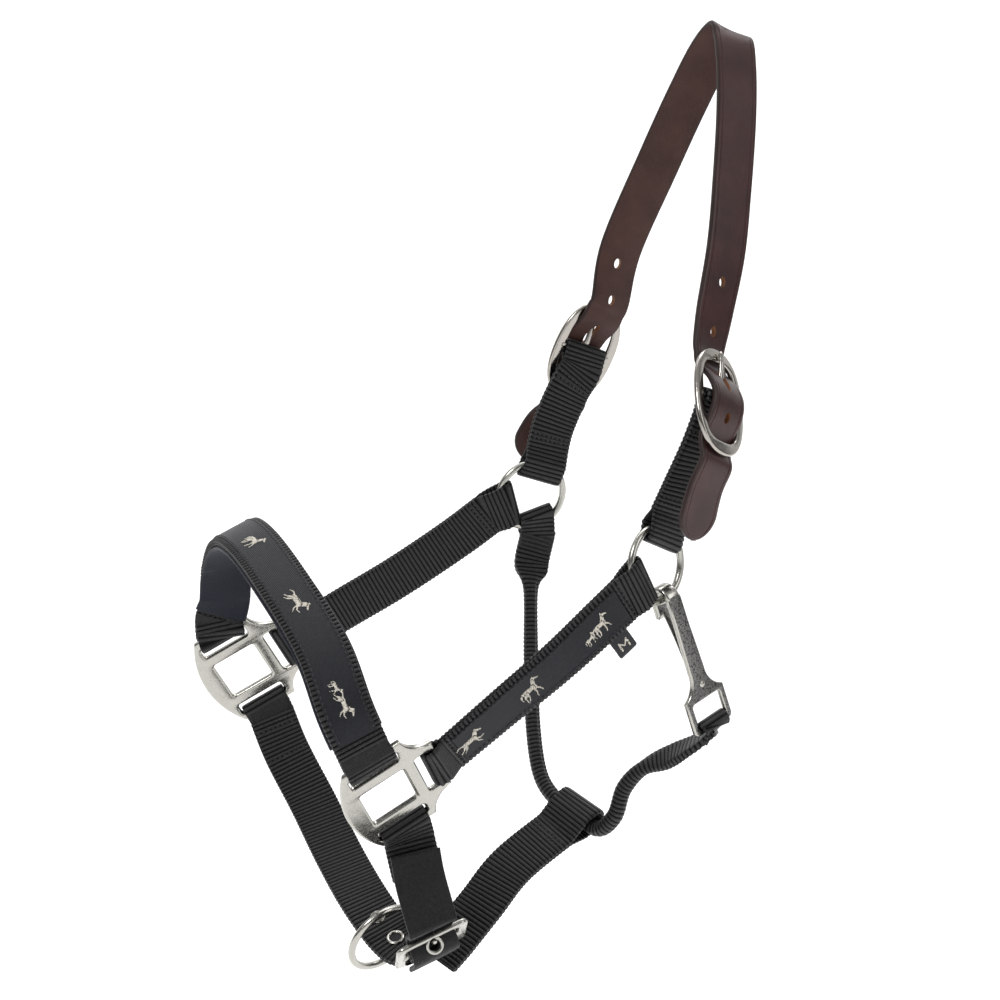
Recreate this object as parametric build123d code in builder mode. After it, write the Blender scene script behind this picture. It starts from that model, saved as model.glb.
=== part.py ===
"""Webbing headcollar with a leather crown piece, held up by its crown. Millimetres, +Z up.

The origin is under the middle of the crown, where it lies over the poll or over a peg. The near
side is toward -Y and the noseband toward -X. Every strap is a ribbon that runs through a few
stations; each station is a centre point and the direction across the strap.
"""
import os
from math import cos, radians, sin

from build123d import *

os.makedirs("parts", exist_ok=True)

# Straps
WEB_WIDTH = 27
WEB_PLY = 2.0
WEB_DOUBLE = 2 * WEB_PLY
RIBBON_WIDTH = 21
RIBBON_THICK = 0.6
PADDING_WIDTH = 29
PADDING_THICK = 2.6
CROWN_WIDTH = 25
CROWN_THICK = 3.2
FIT = 0.3

# Round and cast fittings
RING_WIRE = 4
RING_CENTRELINE = 20
BAR_RADIUS = 2
SQUARE_THICK = 4
WINDOW = 26
SLOT_LENGTH = 28.4
RAIL_CENTRE = 29.5
RAIL_WIDTH = 5
OVAL_WIDTH = 40
OVAL_HEIGHT = 60
OVAL_THICK = 3
CHIN_FRAME_WIDTH = 41
CHIN_FRAME_HEIGHT = 30
CHIN_FRAME_THICK = 3
ROLL_RADIUS = 4.5

# Places of the fittings: x runs across the strap, z points away from the horse
NEAR_RING = Plane(origin=(-46, -60, -292), x_dir=(0.70, 0.71, 0), z_dir=(0.71, -0.70, -0.04))
FAR_RING = Plane(origin=(-110, 60, -255), x_dir=(0.94, 0.31, 0.13), z_dir=(-0.34, 0.87, 0.37))
CHIN_RING = Plane(origin=(-191, -31, -494), x_dir=(0.79, 0.46, 0.41), z_dir=(0.58, -0.63, -0.52))
NEAR_SQUARE = Plane(origin=(-185, -95, -408), x_dir=(0.84, 0.16, 0.52), z_dir=(0.48, -0.68, -0.55))
FAR_SQUARE = Plane(origin=(-277, 48, -356), x_dir=(0.83, 0.05, 0.48), z_dir=(-0.31, 0.78, 0.45))
NEAR_BUCKLE = Plane(origin=(-14, -68, -207), x_dir=(0.66, 0.70, -0.27), z_dir=(0.74, -0.62, 0.26))
FAR_BUCKLE = Plane(origin=(-79, 58, -171), x_dir=(-0.84, -0.47, 0.26), z_dir=(-0.37, 0.82, 0.35))
CHIN_BUCKLE = Plane(origin=(-164, -66, -490), x_dir=(0.88, 0.30, 0.37), z_dir=(0.47, -0.41, -0.78))
SNAP = Plane(origin=(-40.5, -53.5, -310), x_dir=(0.75, 0.51, 0.41), z_dir=(0.58, -0.81, -0.05))
THROAT_LOOP = Plane(origin=(-86, 8, -433), x_dir=(-0.65, -0.49, -0.59), z_dir=(0.73, -0.53, -0.44))


def at(place, x, y, z=0.0):
    """A point given in a fitting's own axes."""
    return place.from_local_coords((x, y, z))


def eased(a, b, c, d, t):
    """A point between b and c of a smooth curve through a, b, c and d."""
    return 0.5 * (2 * b + (c - a) * t + (2 * a - 5 * b + 4 * c - d) * t * t
                  + (3 * b - a - 3 * c + d) * t * t * t)


def smooth(rows, steps):
    """Rows of vectors through the given ones, with the given number of steps in each gap."""
    rows = [rows[0] * 2 - rows[1], *rows, rows[-1] * 2 - rows[-2]]
    fine = []
    for i in range(1, len(rows) - 2):
        for k in range(steps):
            fine.append(eased(rows[i - 1], rows[i], rows[i + 1], rows[i + 2], k / steps))
    return fine + [rows[-2]]


def cross_planes(stations, steps=4):
    """Planes square to a strap, x across it and z along it."""
    points = smooth([Vector(*place) for place, _ in stations], steps)
    across = smooth([Vector(*side).normalized() for _, side in stations], steps)
    planes = []
    for i, point in enumerate(points):
        ahead = points[min(i + 1, len(points) - 1)] - points[max(i - 1, 0)]
        side = across[i] - ahead.normalized() * across[i].dot(ahead.normalized())
        planes.append(Plane(origin=point, x_dir=side, z_dir=ahead))
    return planes


def ribbon(label, stations, width, thick, offset=0.0, trim=1):
    """A flat piece sewn on a strap: it stops short of the folds, offset toward the outer face."""
    with BuildPart() as strap:
        for place in cross_planes(stations)[trim:-trim]:
            with BuildSketch(place):
                with Locations((0, offset)):
                    Rectangle(width, thick)
        loft(ruled=True)
    strap.part.label = label
    return strap


def fold_plane(place, reach, heading):
    """The plane through a fold seen from its edge: x along the leaving strap, z across it."""
    along = place.x_dir * cos(radians(heading)) + place.y_dir * sin(radians(heading))
    return Plane(origin=place.origin + along * reach, x_dir=along, z_dir=along.cross(place.z_dir))


def leave(fold, reach, turn=1):
    """The station where a strap leaves its fold; turn is -1 to flip the direction across."""
    return at(fold, reach, 0), fold.z_dir * turn


def webbing(label, stations, folds, thick=WEB_DOUBLE, notch=None):
    """A doubled webbing strap with folded ends. Each fold is (plane, hole length, hole height)."""
    with BuildPart() as strap:
        for place in cross_planes(stations):
            with BuildSketch(place):
                Rectangle(WEB_WIDTH, thick)
        loft(ruled=True)
        for place, length, height in folds:
            with BuildSketch(place.offset(-WEB_WIDTH / 2)):
                SlotCenterToCenter(length - height, height + 2 * WEB_PLY)
            extrude(amount=WEB_WIDTH)
        for place, length, height in folds:
            with BuildSketch(place.offset(-WEB_WIDTH)):
                SlotCenterToCenter(length - height, height)
            extrude(amount=2 * WEB_WIDTH, mode=Mode.SUBTRACT)
        if notch:
            with BuildSketch(notch.offset(-8)):
                with Locations((0, 1.2)):
                    Rectangle(NOTCH_WIDTH, 13.6)
            extrude(amount=16, mode=Mode.SUBTRACT)
    strap.part.label = label
    return strap


# Folds, named by what they hold
RING_IN = 11.4
RING_OUT = RING_CENTRELINE + RING_WIRE / 2 + FIT
RING_REACH = (RING_OUT + RING_IN) / 2
RING_HOLE = RING_OUT - RING_IN
HOLE_HEIGHT = RING_WIRE + 2 * FIT
RAIL_HOLE = 7.4
RAIL_HOLE_HEIGHT = 5
BAR_HOLE = HOLE_HEIGHT + 0.2
ROLL_HOLE = 16
ROLL_HOLE_HEIGHT = 10.8
NOTCH_WIDTH = 5.4

NEAR_TAB_FOLD = fold_plane(NEAR_RING, RING_REACH, 74)
NEAR_CHEEK_FOLD = fold_plane(NEAR_RING, RING_REACH, 216)
FAR_TAB_FOLD = fold_plane(FAR_RING, RING_REACH, -67)
FAR_CHEEK_FOLD = fold_plane(FAR_RING, RING_REACH, 166)
THROAT_FOLD = fold_plane(FAR_RING, RING_REACH, 76)
NEAR_NOSE_FOLD = fold_plane(NEAR_SQUARE, RAIL_CENTRE, 90)
NEAR_SLOT_FOLD = fold_plane(NEAR_SQUARE, RAIL_CENTRE, 0)
NEAR_CHIN_FOLD = fold_plane(NEAR_SQUARE, RAIL_CENTRE, -90)
FAR_NOSE_FOLD = fold_plane(FAR_SQUARE, RAIL_CENTRE, -90)
FAR_SLOT_FOLD = fold_plane(FAR_SQUARE, RAIL_CENTRE, 0)
FAR_CHIN_FOLD = fold_plane(FAR_SQUARE, RAIL_CENTRE, 90)
RAIL_LEAVE = 4
RING_LEAVE = 6
BAR_LEAVE = 1.5


# Leather crown piece

def buckle_run(buckle, side, rows):
    """Stations of a strap through a buckle; each row is how far up it and how far out."""
    return [(at(buckle, 0, up, out), side) for up, out in rows]


CROWN_THROUGH = [(-34, -4.2), (-27, -4.2), (-19.5, -3.4), (-10, 3.4), (0, 6.3), (10, 3.4),
                 (19.5, -3.4), (27, -4.2), (34, -4.2)]

CROWN = [
    ((-28, -71, -279), (0.76, 0.60, -0.14)),
    ((-22.5, -76.5, -254), (0.70, 0.66, -0.20)),
    *buckle_run(NEAR_BUCKLE, NEAR_BUCKLE.x_dir, CROWN_THROUGH),
    ((-14, -48, -158), (0.78, 0.60, -0.20)),
    ((-7, -40, -124), (0.84, 0.52, -0.12)),
    ((-3, -32, -90), (0.86, 0.49, -0.12)),
    ((1, -19, -48), (0.88, 0.42, -0.18)),
    ((2, -9, -16), (0.90, 0.34, -0.26)),
    ((0, 1, 1.6), (0.92, 0.20, -0.34)),
    ((-9, 12, -6), (0.92, 0.14, -0.38)),
    ((-22, 23, -31), (0.91, 0.12, -0.40)),
    ((-38, 33, -66), (0.90, 0.15, -0.41)),
    ((-58, 43, -112), (0.88, 0.30, -0.37)),
    *buckle_run(FAR_BUCKLE, -FAR_BUCKLE.x_dir, reversed(CROWN_THROUGH)),
    ((-102, 71, -213), (0.80, 0.46, -0.36)),
    ((-114, 78, -234), (0.78, 0.44, -0.42)),
]

HOLE_WIDTH = 4
HOLE_LENGTH = 6


def crown_strap():
    """The leather crown, with a tongue slot at each buckle and its spare holes."""
    with BuildPart() as strap:
        for place in cross_planes(CROWN):
            with BuildSketch(place):
                Rectangle(CROWN_WIDTH, CROWN_THICK)
        loft(ruled=True)
        for end, inward in ((0, 1), (-1, -1)):
            tip = cross_planes(CROWN)[end]
            face = Plane(origin=tip.origin, x_dir=tip.x_dir, z_dir=tip.y_dir * -inward)
            with BuildSketch(face.offset(-CROWN_THICK)):
                Rectangle(CROWN_WIDTH + 2, CROWN_WIDTH)
                with Locations((0, CROWN_WIDTH / 2)):
                    Circle(CROWN_WIDTH / 2, mode=Mode.SUBTRACT)
            extrude(amount=2 * CROWN_THICK, mode=Mode.SUBTRACT)
        for buckle in (NEAR_BUCKLE, FAR_BUCKLE):
            with BuildSketch(buckle.offset(-8)):
                with Locations((0, 11)):
                    SlotOverall(15, HOLE_WIDTH + 0.4, rotation=90)
            extrude(amount=20, mode=Mode.SUBTRACT)
        for place in crown_holes():
            with BuildSketch(place.offset(-CROWN_THICK)):
                SlotOverall(HOLE_LENGTH, HOLE_WIDTH)
            extrude(amount=2 * CROWN_THICK, mode=Mode.SUBTRACT)
    strap.part.label = "crown_strap"
    return strap


def crown_holes():
    """Spare holes: the plane of each lies in the leather, x along it."""
    planes = cross_planes(CROWN)
    near = (20, 42, 46)
    far = (81, 84, 106)
    spots = [planes[i] for i in near + far]
    return [Plane(origin=p.origin, x_dir=p.z_dir, z_dir=p.y_dir) for p in spots]


# Webbing straps

NEAR_TAB = [
    leave(NEAR_TAB_FOLD, RING_LEAVE),
    ((-33, -60, -254), (0.72, 0.62, -0.30)),
    ((-24, -66, -232), (0.68, 0.67, -0.28)),
    (at(NEAR_BUCKLE, 0, -BAR_LEAVE, -2.3), NEAR_BUCKLE.x_dir),
]
FAR_TAB = [
    leave(FAR_TAB_FOLD, RING_LEAVE, -1),
    ((-97, 55, -215), (0.78, 0.46, -0.42)),
    ((-88, 53.5, -194), (0.82, 0.47, -0.33)),
    (at(FAR_BUCKLE, 0, -10, -5.2), -FAR_BUCKLE.x_dir),
    (at(FAR_BUCKLE, 0, -BAR_LEAVE, -2.3), -FAR_BUCKLE.x_dir),
]
NEAR_CHEEK = [
    leave(NEAR_SLOT_FOLD, RAIL_LEAVE, -1),
    ((-128, -86, -366), (-0.30, -0.66, 0.69)),
    ((-98, -82, -341), (-0.34, -0.58, 0.74)),
    ((-74, -78, -319), (-0.38, -0.48, 0.78)),
    leave(NEAR_CHEEK_FOLD, RING_LEAVE),
]
FAR_CHEEK = [
    leave(FAR_SLOT_FOLD, RAIL_LEAVE, -1),
    ((-220, 52, -322), (0.32, 0.50, -0.80)),
    ((-188, 55, -303), (0.29, 0.48, -0.83)),
    ((-155, 57, -281), (0.25, 0.46, -0.85)),
    leave(FAR_CHEEK_FOLD, RING_LEAVE),
]
NOSE = [
    leave(NEAR_NOSE_FOLD, RAIL_LEAVE, -1),
    ((-204, -126, -362), (-0.86, -0.22, -0.48)),
    ((-217, -113, -331), (-0.87, -0.30, -0.42)),
    ((-239, -85, -301), (-0.86, -0.36, -0.40)),
    ((-260, -47, -280), (-0.85, -0.34, -0.42)),
    ((-275, -10, -276), (-0.85, -0.26, -0.48)),
    ((-283, 15, -292), (-0.86, -0.16, -0.50)),
    ((-285, 26, -314), (-0.85, -0.10, -0.50)),
    leave(FAR_NOSE_FOLD, RAIL_LEAVE),
]
NEAR_CHIN = [
    leave(NEAR_CHIN_FOLD, RAIL_LEAVE),
    ((-174, -70, -440), (-0.86, -0.20, -0.48)),
    ((-171, -71, -452), (-0.87, -0.22, -0.44)),
]
FAR_CHIN = [
    leave(FAR_CHIN_FOLD, RAIL_LEAVE),
    ((-253, 59, -405), (0.84, 0.22, 0.48)),
    ((-236, 42, -432), (0.82, 0.36, 0.44)),
    ((-218, 12, -458), (0.80, 0.44, 0.42)),
    ((-202, -16, -477), (0.79, 0.46, 0.41)),
    ((-187, -34, -492), (0.79, 0.46, 0.41)),
    ((-176, -45, -497), (0.86, 0.34, 0.39)),
    (at(CHIN_BUCKLE, 0, -16, -7.4), CHIN_BUCKLE.x_dir),
    (at(CHIN_BUCKLE, 0, -8, -5.4), CHIN_BUCKLE.x_dir),
    (at(CHIN_BUCKLE, 0, -BAR_LEAVE, -2.3), CHIN_BUCKLE.x_dir),
]
CHIN_THICK = 2.6
CHIN_THROUGH = [(27, -2), (18, -3.9), (12, -4), (8.6, -1.2), (5.6, 3.6), (2, 6.2), (-3, 6.2),
                (-13, 3.6), (-19, 3)]
CHIN_STRAP = [
    ((-172, -76, -440), (0.85, 0.20, 0.49)),
    ((-169, -78, -455), (0.87, 0.24, 0.44)),
    *buckle_run(CHIN_BUCKLE, CHIN_BUCKLE.x_dir, CHIN_THROUGH),
]
REAR = [
    ((-153, -34, -494), (0.73, -0.53, -0.44)),
    ((-138, -25, -477), (0.73, -0.53, -0.44)),
    ((-121, -13, -458), (0.73, -0.53, -0.44)),
    leave(THROAT_LOOP, 7),
]


# Throat strap: flat where it is folded, rolled to a round cord between. Each row is a place, the
# direction across, half the width and half the thickness.
THROAT = [
    (*leave(THROAT_FOLD, RING_LEAVE), 9.4, 2.1),
    ((-109, 66.5, -292), (0.92, 0.36, 0.20), 9.2, 2.3),
    ((-110, 60, -312), (0.90, 0.40, 0.20), ROLL_RADIUS, ROLL_RADIUS),
    ((-110, 50, -350), (0.90, 0.40, 0.20), ROLL_RADIUS, ROLL_RADIUS),
    ((-109, 37, -388), (0.90, 0.40, 0.20), ROLL_RADIUS, ROLL_RADIUS),
    ((-105, 25, -414), (0.90, 0.40, 0.20), ROLL_RADIUS, ROLL_RADIUS),
    ((-96, 15, -427), (0.68, 0.26, 0.68), ROLL_RADIUS, ROLL_RADIUS),
    ((-86, 8, -433), (0.60, 0.16, 0.78), ROLL_RADIUS, ROLL_RADIUS),
    ((-74, -1, -440.5), (0.60, 0.16, 0.78), ROLL_RADIUS, ROLL_RADIUS),
    ((-65, -10, -432), (0.70, 0.20, 0.68), ROLL_RADIUS, ROLL_RADIUS),
    ((-60, -15, -416), (0.84, 0.30, 0.44), ROLL_RADIUS, ROLL_RADIUS),
    ((-50, -21, -404), (0.60, 0.30, 0.74), ROLL_RADIUS + 0.5, ROLL_RADIUS - 0.6),
    ((-36, -27, -397), (0.60, 0.36, 0.72), 8, 2.8),
    ((-23, -34, -389), (0.70, 0.46, 0.56), 9.4, 2.2),
    (at(SNAP, 0, -79, 6.2), SNAP.x_dir, 9.4, 2.0),
]


def throat_strap():
    with BuildPart() as strap:
        places = cross_planes([row[:2] for row in THROAT], 3)
        halves = smooth([Vector(row[2], row[3], 0) for row in THROAT], 3)
        for place, half in zip(places, halves):
            corners = [radians(30 * k + 15) for k in range(12)]
            with BuildSketch(place):
                Polygon(*[(half.X * cos(a), half.Y * sin(a)) for a in corners], align=None)
        loft(ruled=True)
        for fold, reach, hole, width in (
            (THROAT_FOLD, 0, RING_HOLE, 19),
            (fold_plane(SNAP_BAR, 0, -90), 0, BAR_HOLE, EYE_INSIDE - 1),
        ):
            with BuildSketch(fold.offset(-width / 2)):
                SlotCenterToCenter(hole - HOLE_HEIGHT, HOLE_HEIGHT + 2 * WEB_PLY)
            extrude(amount=width)
            with BuildSketch(fold.offset(-width)):
                SlotCenterToCenter(hole - HOLE_HEIGHT, HOLE_HEIGHT)
            extrude(amount=2 * width, mode=Mode.SUBTRACT)
    strap.part.label = "throat_strap"
    return strap


# Rings, squares, buckles and the snap

def ring(label, place):
    with BuildPart(place) as hoop:
        Torus(RING_CENTRELINE, RING_WIRE / 2)
    hoop.part.label = label
    return hoop


def square(label, place):
    """A cast square: a window, three strap slots and a bowed outer side."""
    with BuildPart() as casting:
        with BuildSketch(place.offset(-SQUARE_THICK / 2)):
            with BuildLine():
                Line((-15, 32), (18, 32))
                ThreePointArc((18, 32), (21.5, 24), (32, 18))
                Line((32, 18), (32, -18))
                ThreePointArc((32, -18), (21.5, -24), (18, -32))
                Line((18, -32), (-15, -32))
                ThreePointArc((-15, -32), (-24, 0), (-15, 32))
            make_face()
            RectangleRounded(WINDOW, WINDOW, 1.5, mode=Mode.SUBTRACT)
            for y in (-23.5, 23.5):
                with Locations((0, y)):
                    RectangleRounded(SLOT_LENGTH, 7, 1.5, mode=Mode.SUBTRACT)
            with Locations((23.5, 0)):
                RectangleRounded(7, SLOT_LENGTH, 1.5, mode=Mode.SUBTRACT)
        extrude(amount=SQUARE_THICK)
    casting.part.label = label
    return casting


def oval_buckle(label, place):
    """The crown buckle: an oval frame with a round centre bar."""
    with BuildPart() as frame:
        with BuildSketch(place.offset(-OVAL_THICK / 2)):
            RectangleRounded(OVAL_WIDTH, OVAL_HEIGHT, OVAL_WIDTH / 2 - 1)
            RectangleRounded(27.6, 44, 8, mode=Mode.SUBTRACT)
        extrude(amount=OVAL_THICK)
        with BuildSketch(Plane(origin=at(place, -16, 0), x_dir=place.y_dir, z_dir=place.x_dir)):
            Circle(BAR_RADIUS)
        extrude(amount=32)
    frame.part.label = label
    return frame


def chin_buckle():
    """The chin buckle: straight top rail, bowed lower rail, round centre bar."""
    half = CHIN_FRAME_WIDTH / 2
    with BuildPart() as frame:
        with BuildSketch(CHIN_BUCKLE.offset(-CHIN_FRAME_THICK / 2)):
            with BuildLine():
                Line((-half + 4, 15), (half - 4, 15))
                RadiusArc((half - 4, 15), (half, 11), 4)
                Line((half, 11), (half, -10))
                ThreePointArc((half, -10), (0, -17), (-half, -10))
                Line((-half, -10), (-half, 11))
                RadiusArc((-half, 11), (-half + 4, 15), 4)
            make_face()
            RectangleRounded(29, 23.4, 3, mode=Mode.SUBTRACT)
        extrude(amount=CHIN_FRAME_THICK)
        side = Plane(origin=at(CHIN_BUCKLE, -17, 0), x_dir=CHIN_BUCKLE.y_dir, z_dir=CHIN_BUCKLE.x_dir)
        with BuildSketch(side):
            Circle(BAR_RADIUS)
        extrude(amount=34)
    frame.part.label = "chin_buckle_frame"
    return frame


TONGUE_EYE = 4.2
TONGUE_WIDTH = 4


def tongue(label, place, tip, shaft):
    """A buckle tongue: an eye round the bar and a straight shaft up to the frame's top rail."""
    with BuildPart() as prong:
        side = Plane(origin=place.origin, x_dir=place.y_dir, z_dir=place.x_dir)
        with BuildSketch(side.offset(-TONGUE_WIDTH / 2)):
            Circle(TONGUE_EYE)
        extrude(amount=TONGUE_WIDTH)
        root = side.from_local_coords((2.6, 2.2, 0))
        end = side.from_local_coords((tip, OVAL_THICK / 2 + shaft + FIT, 0))
        with BuildSketch(Plane(origin=root, z_dir=end - root)):
            Circle(shaft)
        extrude(amount=(end - root).length)
        with BuildSketch(side.offset(-TONGUE_WIDTH)):
            Circle(BAR_RADIUS + FIT)
        extrude(amount=2 * TONGUE_WIDTH, mode=Mode.SUBTRACT)
    prong.part.label = label
    return prong


SNAP_SIDE = Plane(origin=SNAP.origin, x_dir=SNAP.z_dir, z_dir=-SNAP.x_dir)
HOOK_INSIDE = 4.4
HOOK_THICK = 3.4
HOOK_WIDTH = 8
SNAP_LENGTH = 74
SHANK_TOP = -12
SHANK_END = -50
EYE_INSIDE = 20
EYE_HALF = 13.8
EYE_SHOULDER = -57
BODY_MIDDLE = HOOK_INSIDE + HOOK_THICK / 2
SNAP_BAR = Plane(origin=at(SNAP, 0, -SNAP_LENGTH, BODY_MIDDLE), x_dir=SNAP.x_dir, z_dir=SNAP.z_dir)
LEAF_PIVOT = (3.0, -46)
LEAF_TIP = (-3.5, -8)
LEAF_THICK = 0.8
RIVET_RADIUS = 2


def snap_body():
    """A cast trigger-snap body: hook, flat shank and a square eye with a round bar."""
    outer = HOOK_INSIDE + HOOK_THICK
    with BuildPart() as body:
        with BuildSketch(SNAP_SIDE.offset(-HOOK_WIDTH / 2)):
            with BuildLine():
                Line((outer, SHANK_END), (outer, 0))
                ThreePointArc((outer, 0), (0, outer), (-outer, 0))
                Line((-outer, 0), (-outer, -11))
                Line((-outer, -11), (-HOOK_INSIDE, -9))
                Line((-HOOK_INSIDE, -9), (-HOOK_INSIDE, 0))
                ThreePointArc((-HOOK_INSIDE, 0), (0, HOOK_INSIDE), (HOOK_INSIDE, 0))
                Line((HOOK_INSIDE, 0), (HOOK_INSIDE, SHANK_END))
                Line((HOOK_INSIDE, SHANK_END), (outer, SHANK_END))
            make_face()
        extrude(amount=HOOK_WIDTH)
        with BuildSketch(SNAP.offset(HOOK_INSIDE)):
            with BuildLine():
                Line((-4.2, SHANK_TOP), (4.2, SHANK_TOP))
                Line((4.2, SHANK_TOP), (5.4, -44))
                Spline((5.4, -44), (7, SHANK_END), (EYE_HALF, EYE_SHOULDER),
                       tangents=((0.04, -1), (0.5, -1)))
                Line((EYE_HALF, EYE_SHOULDER), (EYE_HALF, -SNAP_LENGTH))
                Line((EYE_HALF, -SNAP_LENGTH), (-EYE_HALF, -SNAP_LENGTH))
                Line((-EYE_HALF, -SNAP_LENGTH), (-EYE_HALF, EYE_SHOULDER))
                Spline((-EYE_HALF, EYE_SHOULDER), (-7, SHANK_END), (-5.4, -44),
                       tangents=((0.5, 1), (0.04, 1)))
                Line((-5.4, -44), (-4.2, SHANK_TOP))
            make_face()
            with Locations((0, -67)):
                Rectangle(EYE_INSIDE, 18, mode=Mode.SUBTRACT)
        extrude(amount=HOOK_THICK)
        with BuildSketch(Plane(origin=at(SNAP_BAR, -EYE_HALF, 0), x_dir=SNAP.y_dir, z_dir=SNAP.x_dir)):
            Circle(BAR_RADIUS)
        extrude(amount=2 * EYE_HALF)
    body.part.label = "snap_body"
    return body


def snap_spring():
    """The leaf that closes the hook's mouth."""
    with BuildPart() as leaf:
        with BuildSketch(SNAP_SIDE.offset(-3)):
            middle = ((LEAF_PIVOT[0] + LEAF_TIP[0]) / 2, (LEAF_PIVOT[1] + LEAF_TIP[1]) / 2)
            SlotCenterPoint(middle, LEAF_TIP, LEAF_THICK)
        extrude(amount=6)
    leaf.part.label = "snap_spring"
    return leaf


def snap_rivet():
    """The rivet that holds the leaf, with a head on each face of the shank."""
    with BuildPart() as rivet:
        with BuildSketch(SNAP.offset(HOOK_INSIDE + HOOK_THICK + 0.05)):
            with Locations((0, SHANK_END)):
                Circle(RIVET_RADIUS)
        extrude(amount=0.9, taper=30)
    rivet.part.label = "snap_rivet"
    return rivet


EYELET_OUTER = 5
EYELET_HOLE = 3.2
EYELET_THICK = 0.7
EYELET_GAP = 0.3


def washers(label, places):
    """Eyelets pressed into a strap, as a group of rings."""
    with BuildPart() as group:
        for place in places:
            with BuildSketch(place):
                Circle(EYELET_OUTER)
                Circle(EYELET_HOLE, mode=Mode.SUBTRACT)
            extrude(amount=EYELET_THICK)
    group.part.label = label
    return group


def eyelet_places():
    """Each eyelet lies on its strap; the tongue's one stands off the bend that it is on."""
    bend = cross_planes(buckle_run(CHIN_BUCKLE, CHIN_BUCKLE.x_dir, CHIN_THROUGH))[15]
    far = cross_planes(FAR_CHIN)
    places = []
    for plane, rise in ((bend, CHIN_THICK / 2 + 0.8), (far[18], WEB_PLY), (far[21], WEB_PLY)):
        face = plane.origin + plane.y_dir * (rise + EYELET_GAP)
        places.append(Plane(origin=face, x_dir=plane.x_dir, z_dir=plane.y_dir))
    return places


def chin_strap():
    """The smooth eyelet strap through the chin buckle, holed for the tongue."""
    hole = eyelet_places()[0]
    with BuildPart() as strap:
        for place in cross_planes(CHIN_STRAP):
            with BuildSketch(place):
                Rectangle(WEB_WIDTH, CHIN_THICK)
        loft(ruled=True)
        with BuildSketch(hole.offset(-CHIN_THICK - 2)):
            Circle(3.2)
        extrude(amount=CHIN_THICK + 3, mode=Mode.SUBTRACT)
    strap.part.label = "chin_strap"
    return strap


def size_tag():
    """A small woven label sewn into the lower edge of the near cheek."""
    web = cross_planes(NEAR_CHEEK)[12]
    middle = web.origin - web.x_dir * (WEB_WIDTH / 2 + 7) - web.y_dir * 0.4
    with BuildPart() as label:
        with BuildSketch(Plane(origin=middle, x_dir=web.x_dir, z_dir=web.y_dir)):
            RectangleRounded(13, 12, 1)
        extrude(amount=0.8)
    label.part.label = "size_tag"
    return label


OUT = WEB_DOUBLE / 2 + RIBBON_THICK / 2 + 0.05
IN = -WEB_DOUBLE / 2 - PADDING_THICK / 2 - 0.05

PIECES = [
    crown_strap(),
    oval_buckle("crown_buckle_frame_near", NEAR_BUCKLE),
    oval_buckle("crown_buckle_frame_far", FAR_BUCKLE),
    tongue("crown_tongue_near", NEAR_BUCKLE, 28, 1.5),
    tongue("crown_tongue_far", FAR_BUCKLE, 28, 1.5),
    webbing("crown_tab_near", NEAR_TAB, [
        (NEAR_TAB_FOLD, RING_HOLE, HOLE_HEIGHT),
        (fold_plane(NEAR_BUCKLE, 0, -90), BAR_HOLE, HOLE_HEIGHT)], notch=NEAR_BUCKLE),
    webbing("crown_tab_far", FAR_TAB, [
        (FAR_TAB_FOLD, RING_HOLE, HOLE_HEIGHT),
        (fold_plane(FAR_BUCKLE, 0, -90), BAR_HOLE, HOLE_HEIGHT)], notch=FAR_BUCKLE),
    ring("cheek_ring_near", NEAR_RING),
    ring("cheek_ring_far", FAR_RING),
    webbing("cheek_webbing_near", NEAR_CHEEK, [
        (NEAR_SLOT_FOLD, RAIL_HOLE, RAIL_HOLE_HEIGHT), (NEAR_CHEEK_FOLD, RING_HOLE, HOLE_HEIGHT)]),
    webbing("cheek_webbing_far", FAR_CHEEK, [
        (FAR_SLOT_FOLD, RAIL_HOLE, RAIL_HOLE_HEIGHT), (FAR_CHEEK_FOLD, RING_HOLE, HOLE_HEIGHT)]),
    ribbon("cheek_ribbon_near", NEAR_CHEEK, RIBBON_WIDTH, RIBBON_THICK, OUT),
    ribbon("cheek_ribbon_far", FAR_CHEEK, RIBBON_WIDTH, RIBBON_THICK, OUT),
    square("square_near", NEAR_SQUARE),
    square("square_far", FAR_SQUARE),
    webbing("nose_webbing", NOSE, [
        (NEAR_NOSE_FOLD, RAIL_HOLE, RAIL_HOLE_HEIGHT), (FAR_NOSE_FOLD, RAIL_HOLE, RAIL_HOLE_HEIGHT)]),
    ribbon("nose_ribbon", NOSE, RIBBON_WIDTH, RIBBON_THICK, OUT, trim=2),
    ribbon("nose_padding", NOSE, PADDING_WIDTH, PADDING_THICK, IN, trim=2),
    webbing("chin_loop_near", NEAR_CHIN, [(NEAR_CHIN_FOLD, RAIL_HOLE, RAIL_HOLE_HEIGHT)]),
    chin_strap(),
    chin_buckle(),
    tongue("chin_tongue", CHIN_BUCKLE, 14, 1.2),
    webbing("chin_strap_far", FAR_CHIN, [
        (FAR_CHIN_FOLD, RAIL_HOLE, RAIL_HOLE_HEIGHT),
        (fold_plane(CHIN_BUCKLE, 0, -90), BAR_HOLE, HOLE_HEIGHT)], notch=CHIN_BUCKLE),
    washers("chin_eyelets", eyelet_places()),
    ring("chin_ring", CHIN_RING),
    webbing("rear_strap", REAR, [(THROAT_LOOP, ROLL_HOLE, ROLL_HOLE_HEIGHT)]),
    throat_strap(),
    snap_body(),
    snap_spring(),
    snap_rivet(),
    size_tag(),
]
for piece in PIECES:
    export_step(piece.part, f"parts/{piece.part.label}.step")
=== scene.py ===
"""Looks of the headcollar: ribbed webbing, embroidered ribbons, leather crown and metal fittings.

Lengths in this file are millimetres until a mesh is made, and metres from there on.
"""
from math import atan2, cos, pi, radians, sin, sqrt

import bpy
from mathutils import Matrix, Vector
from mathutils.geometry import tessellate_polygon


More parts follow.
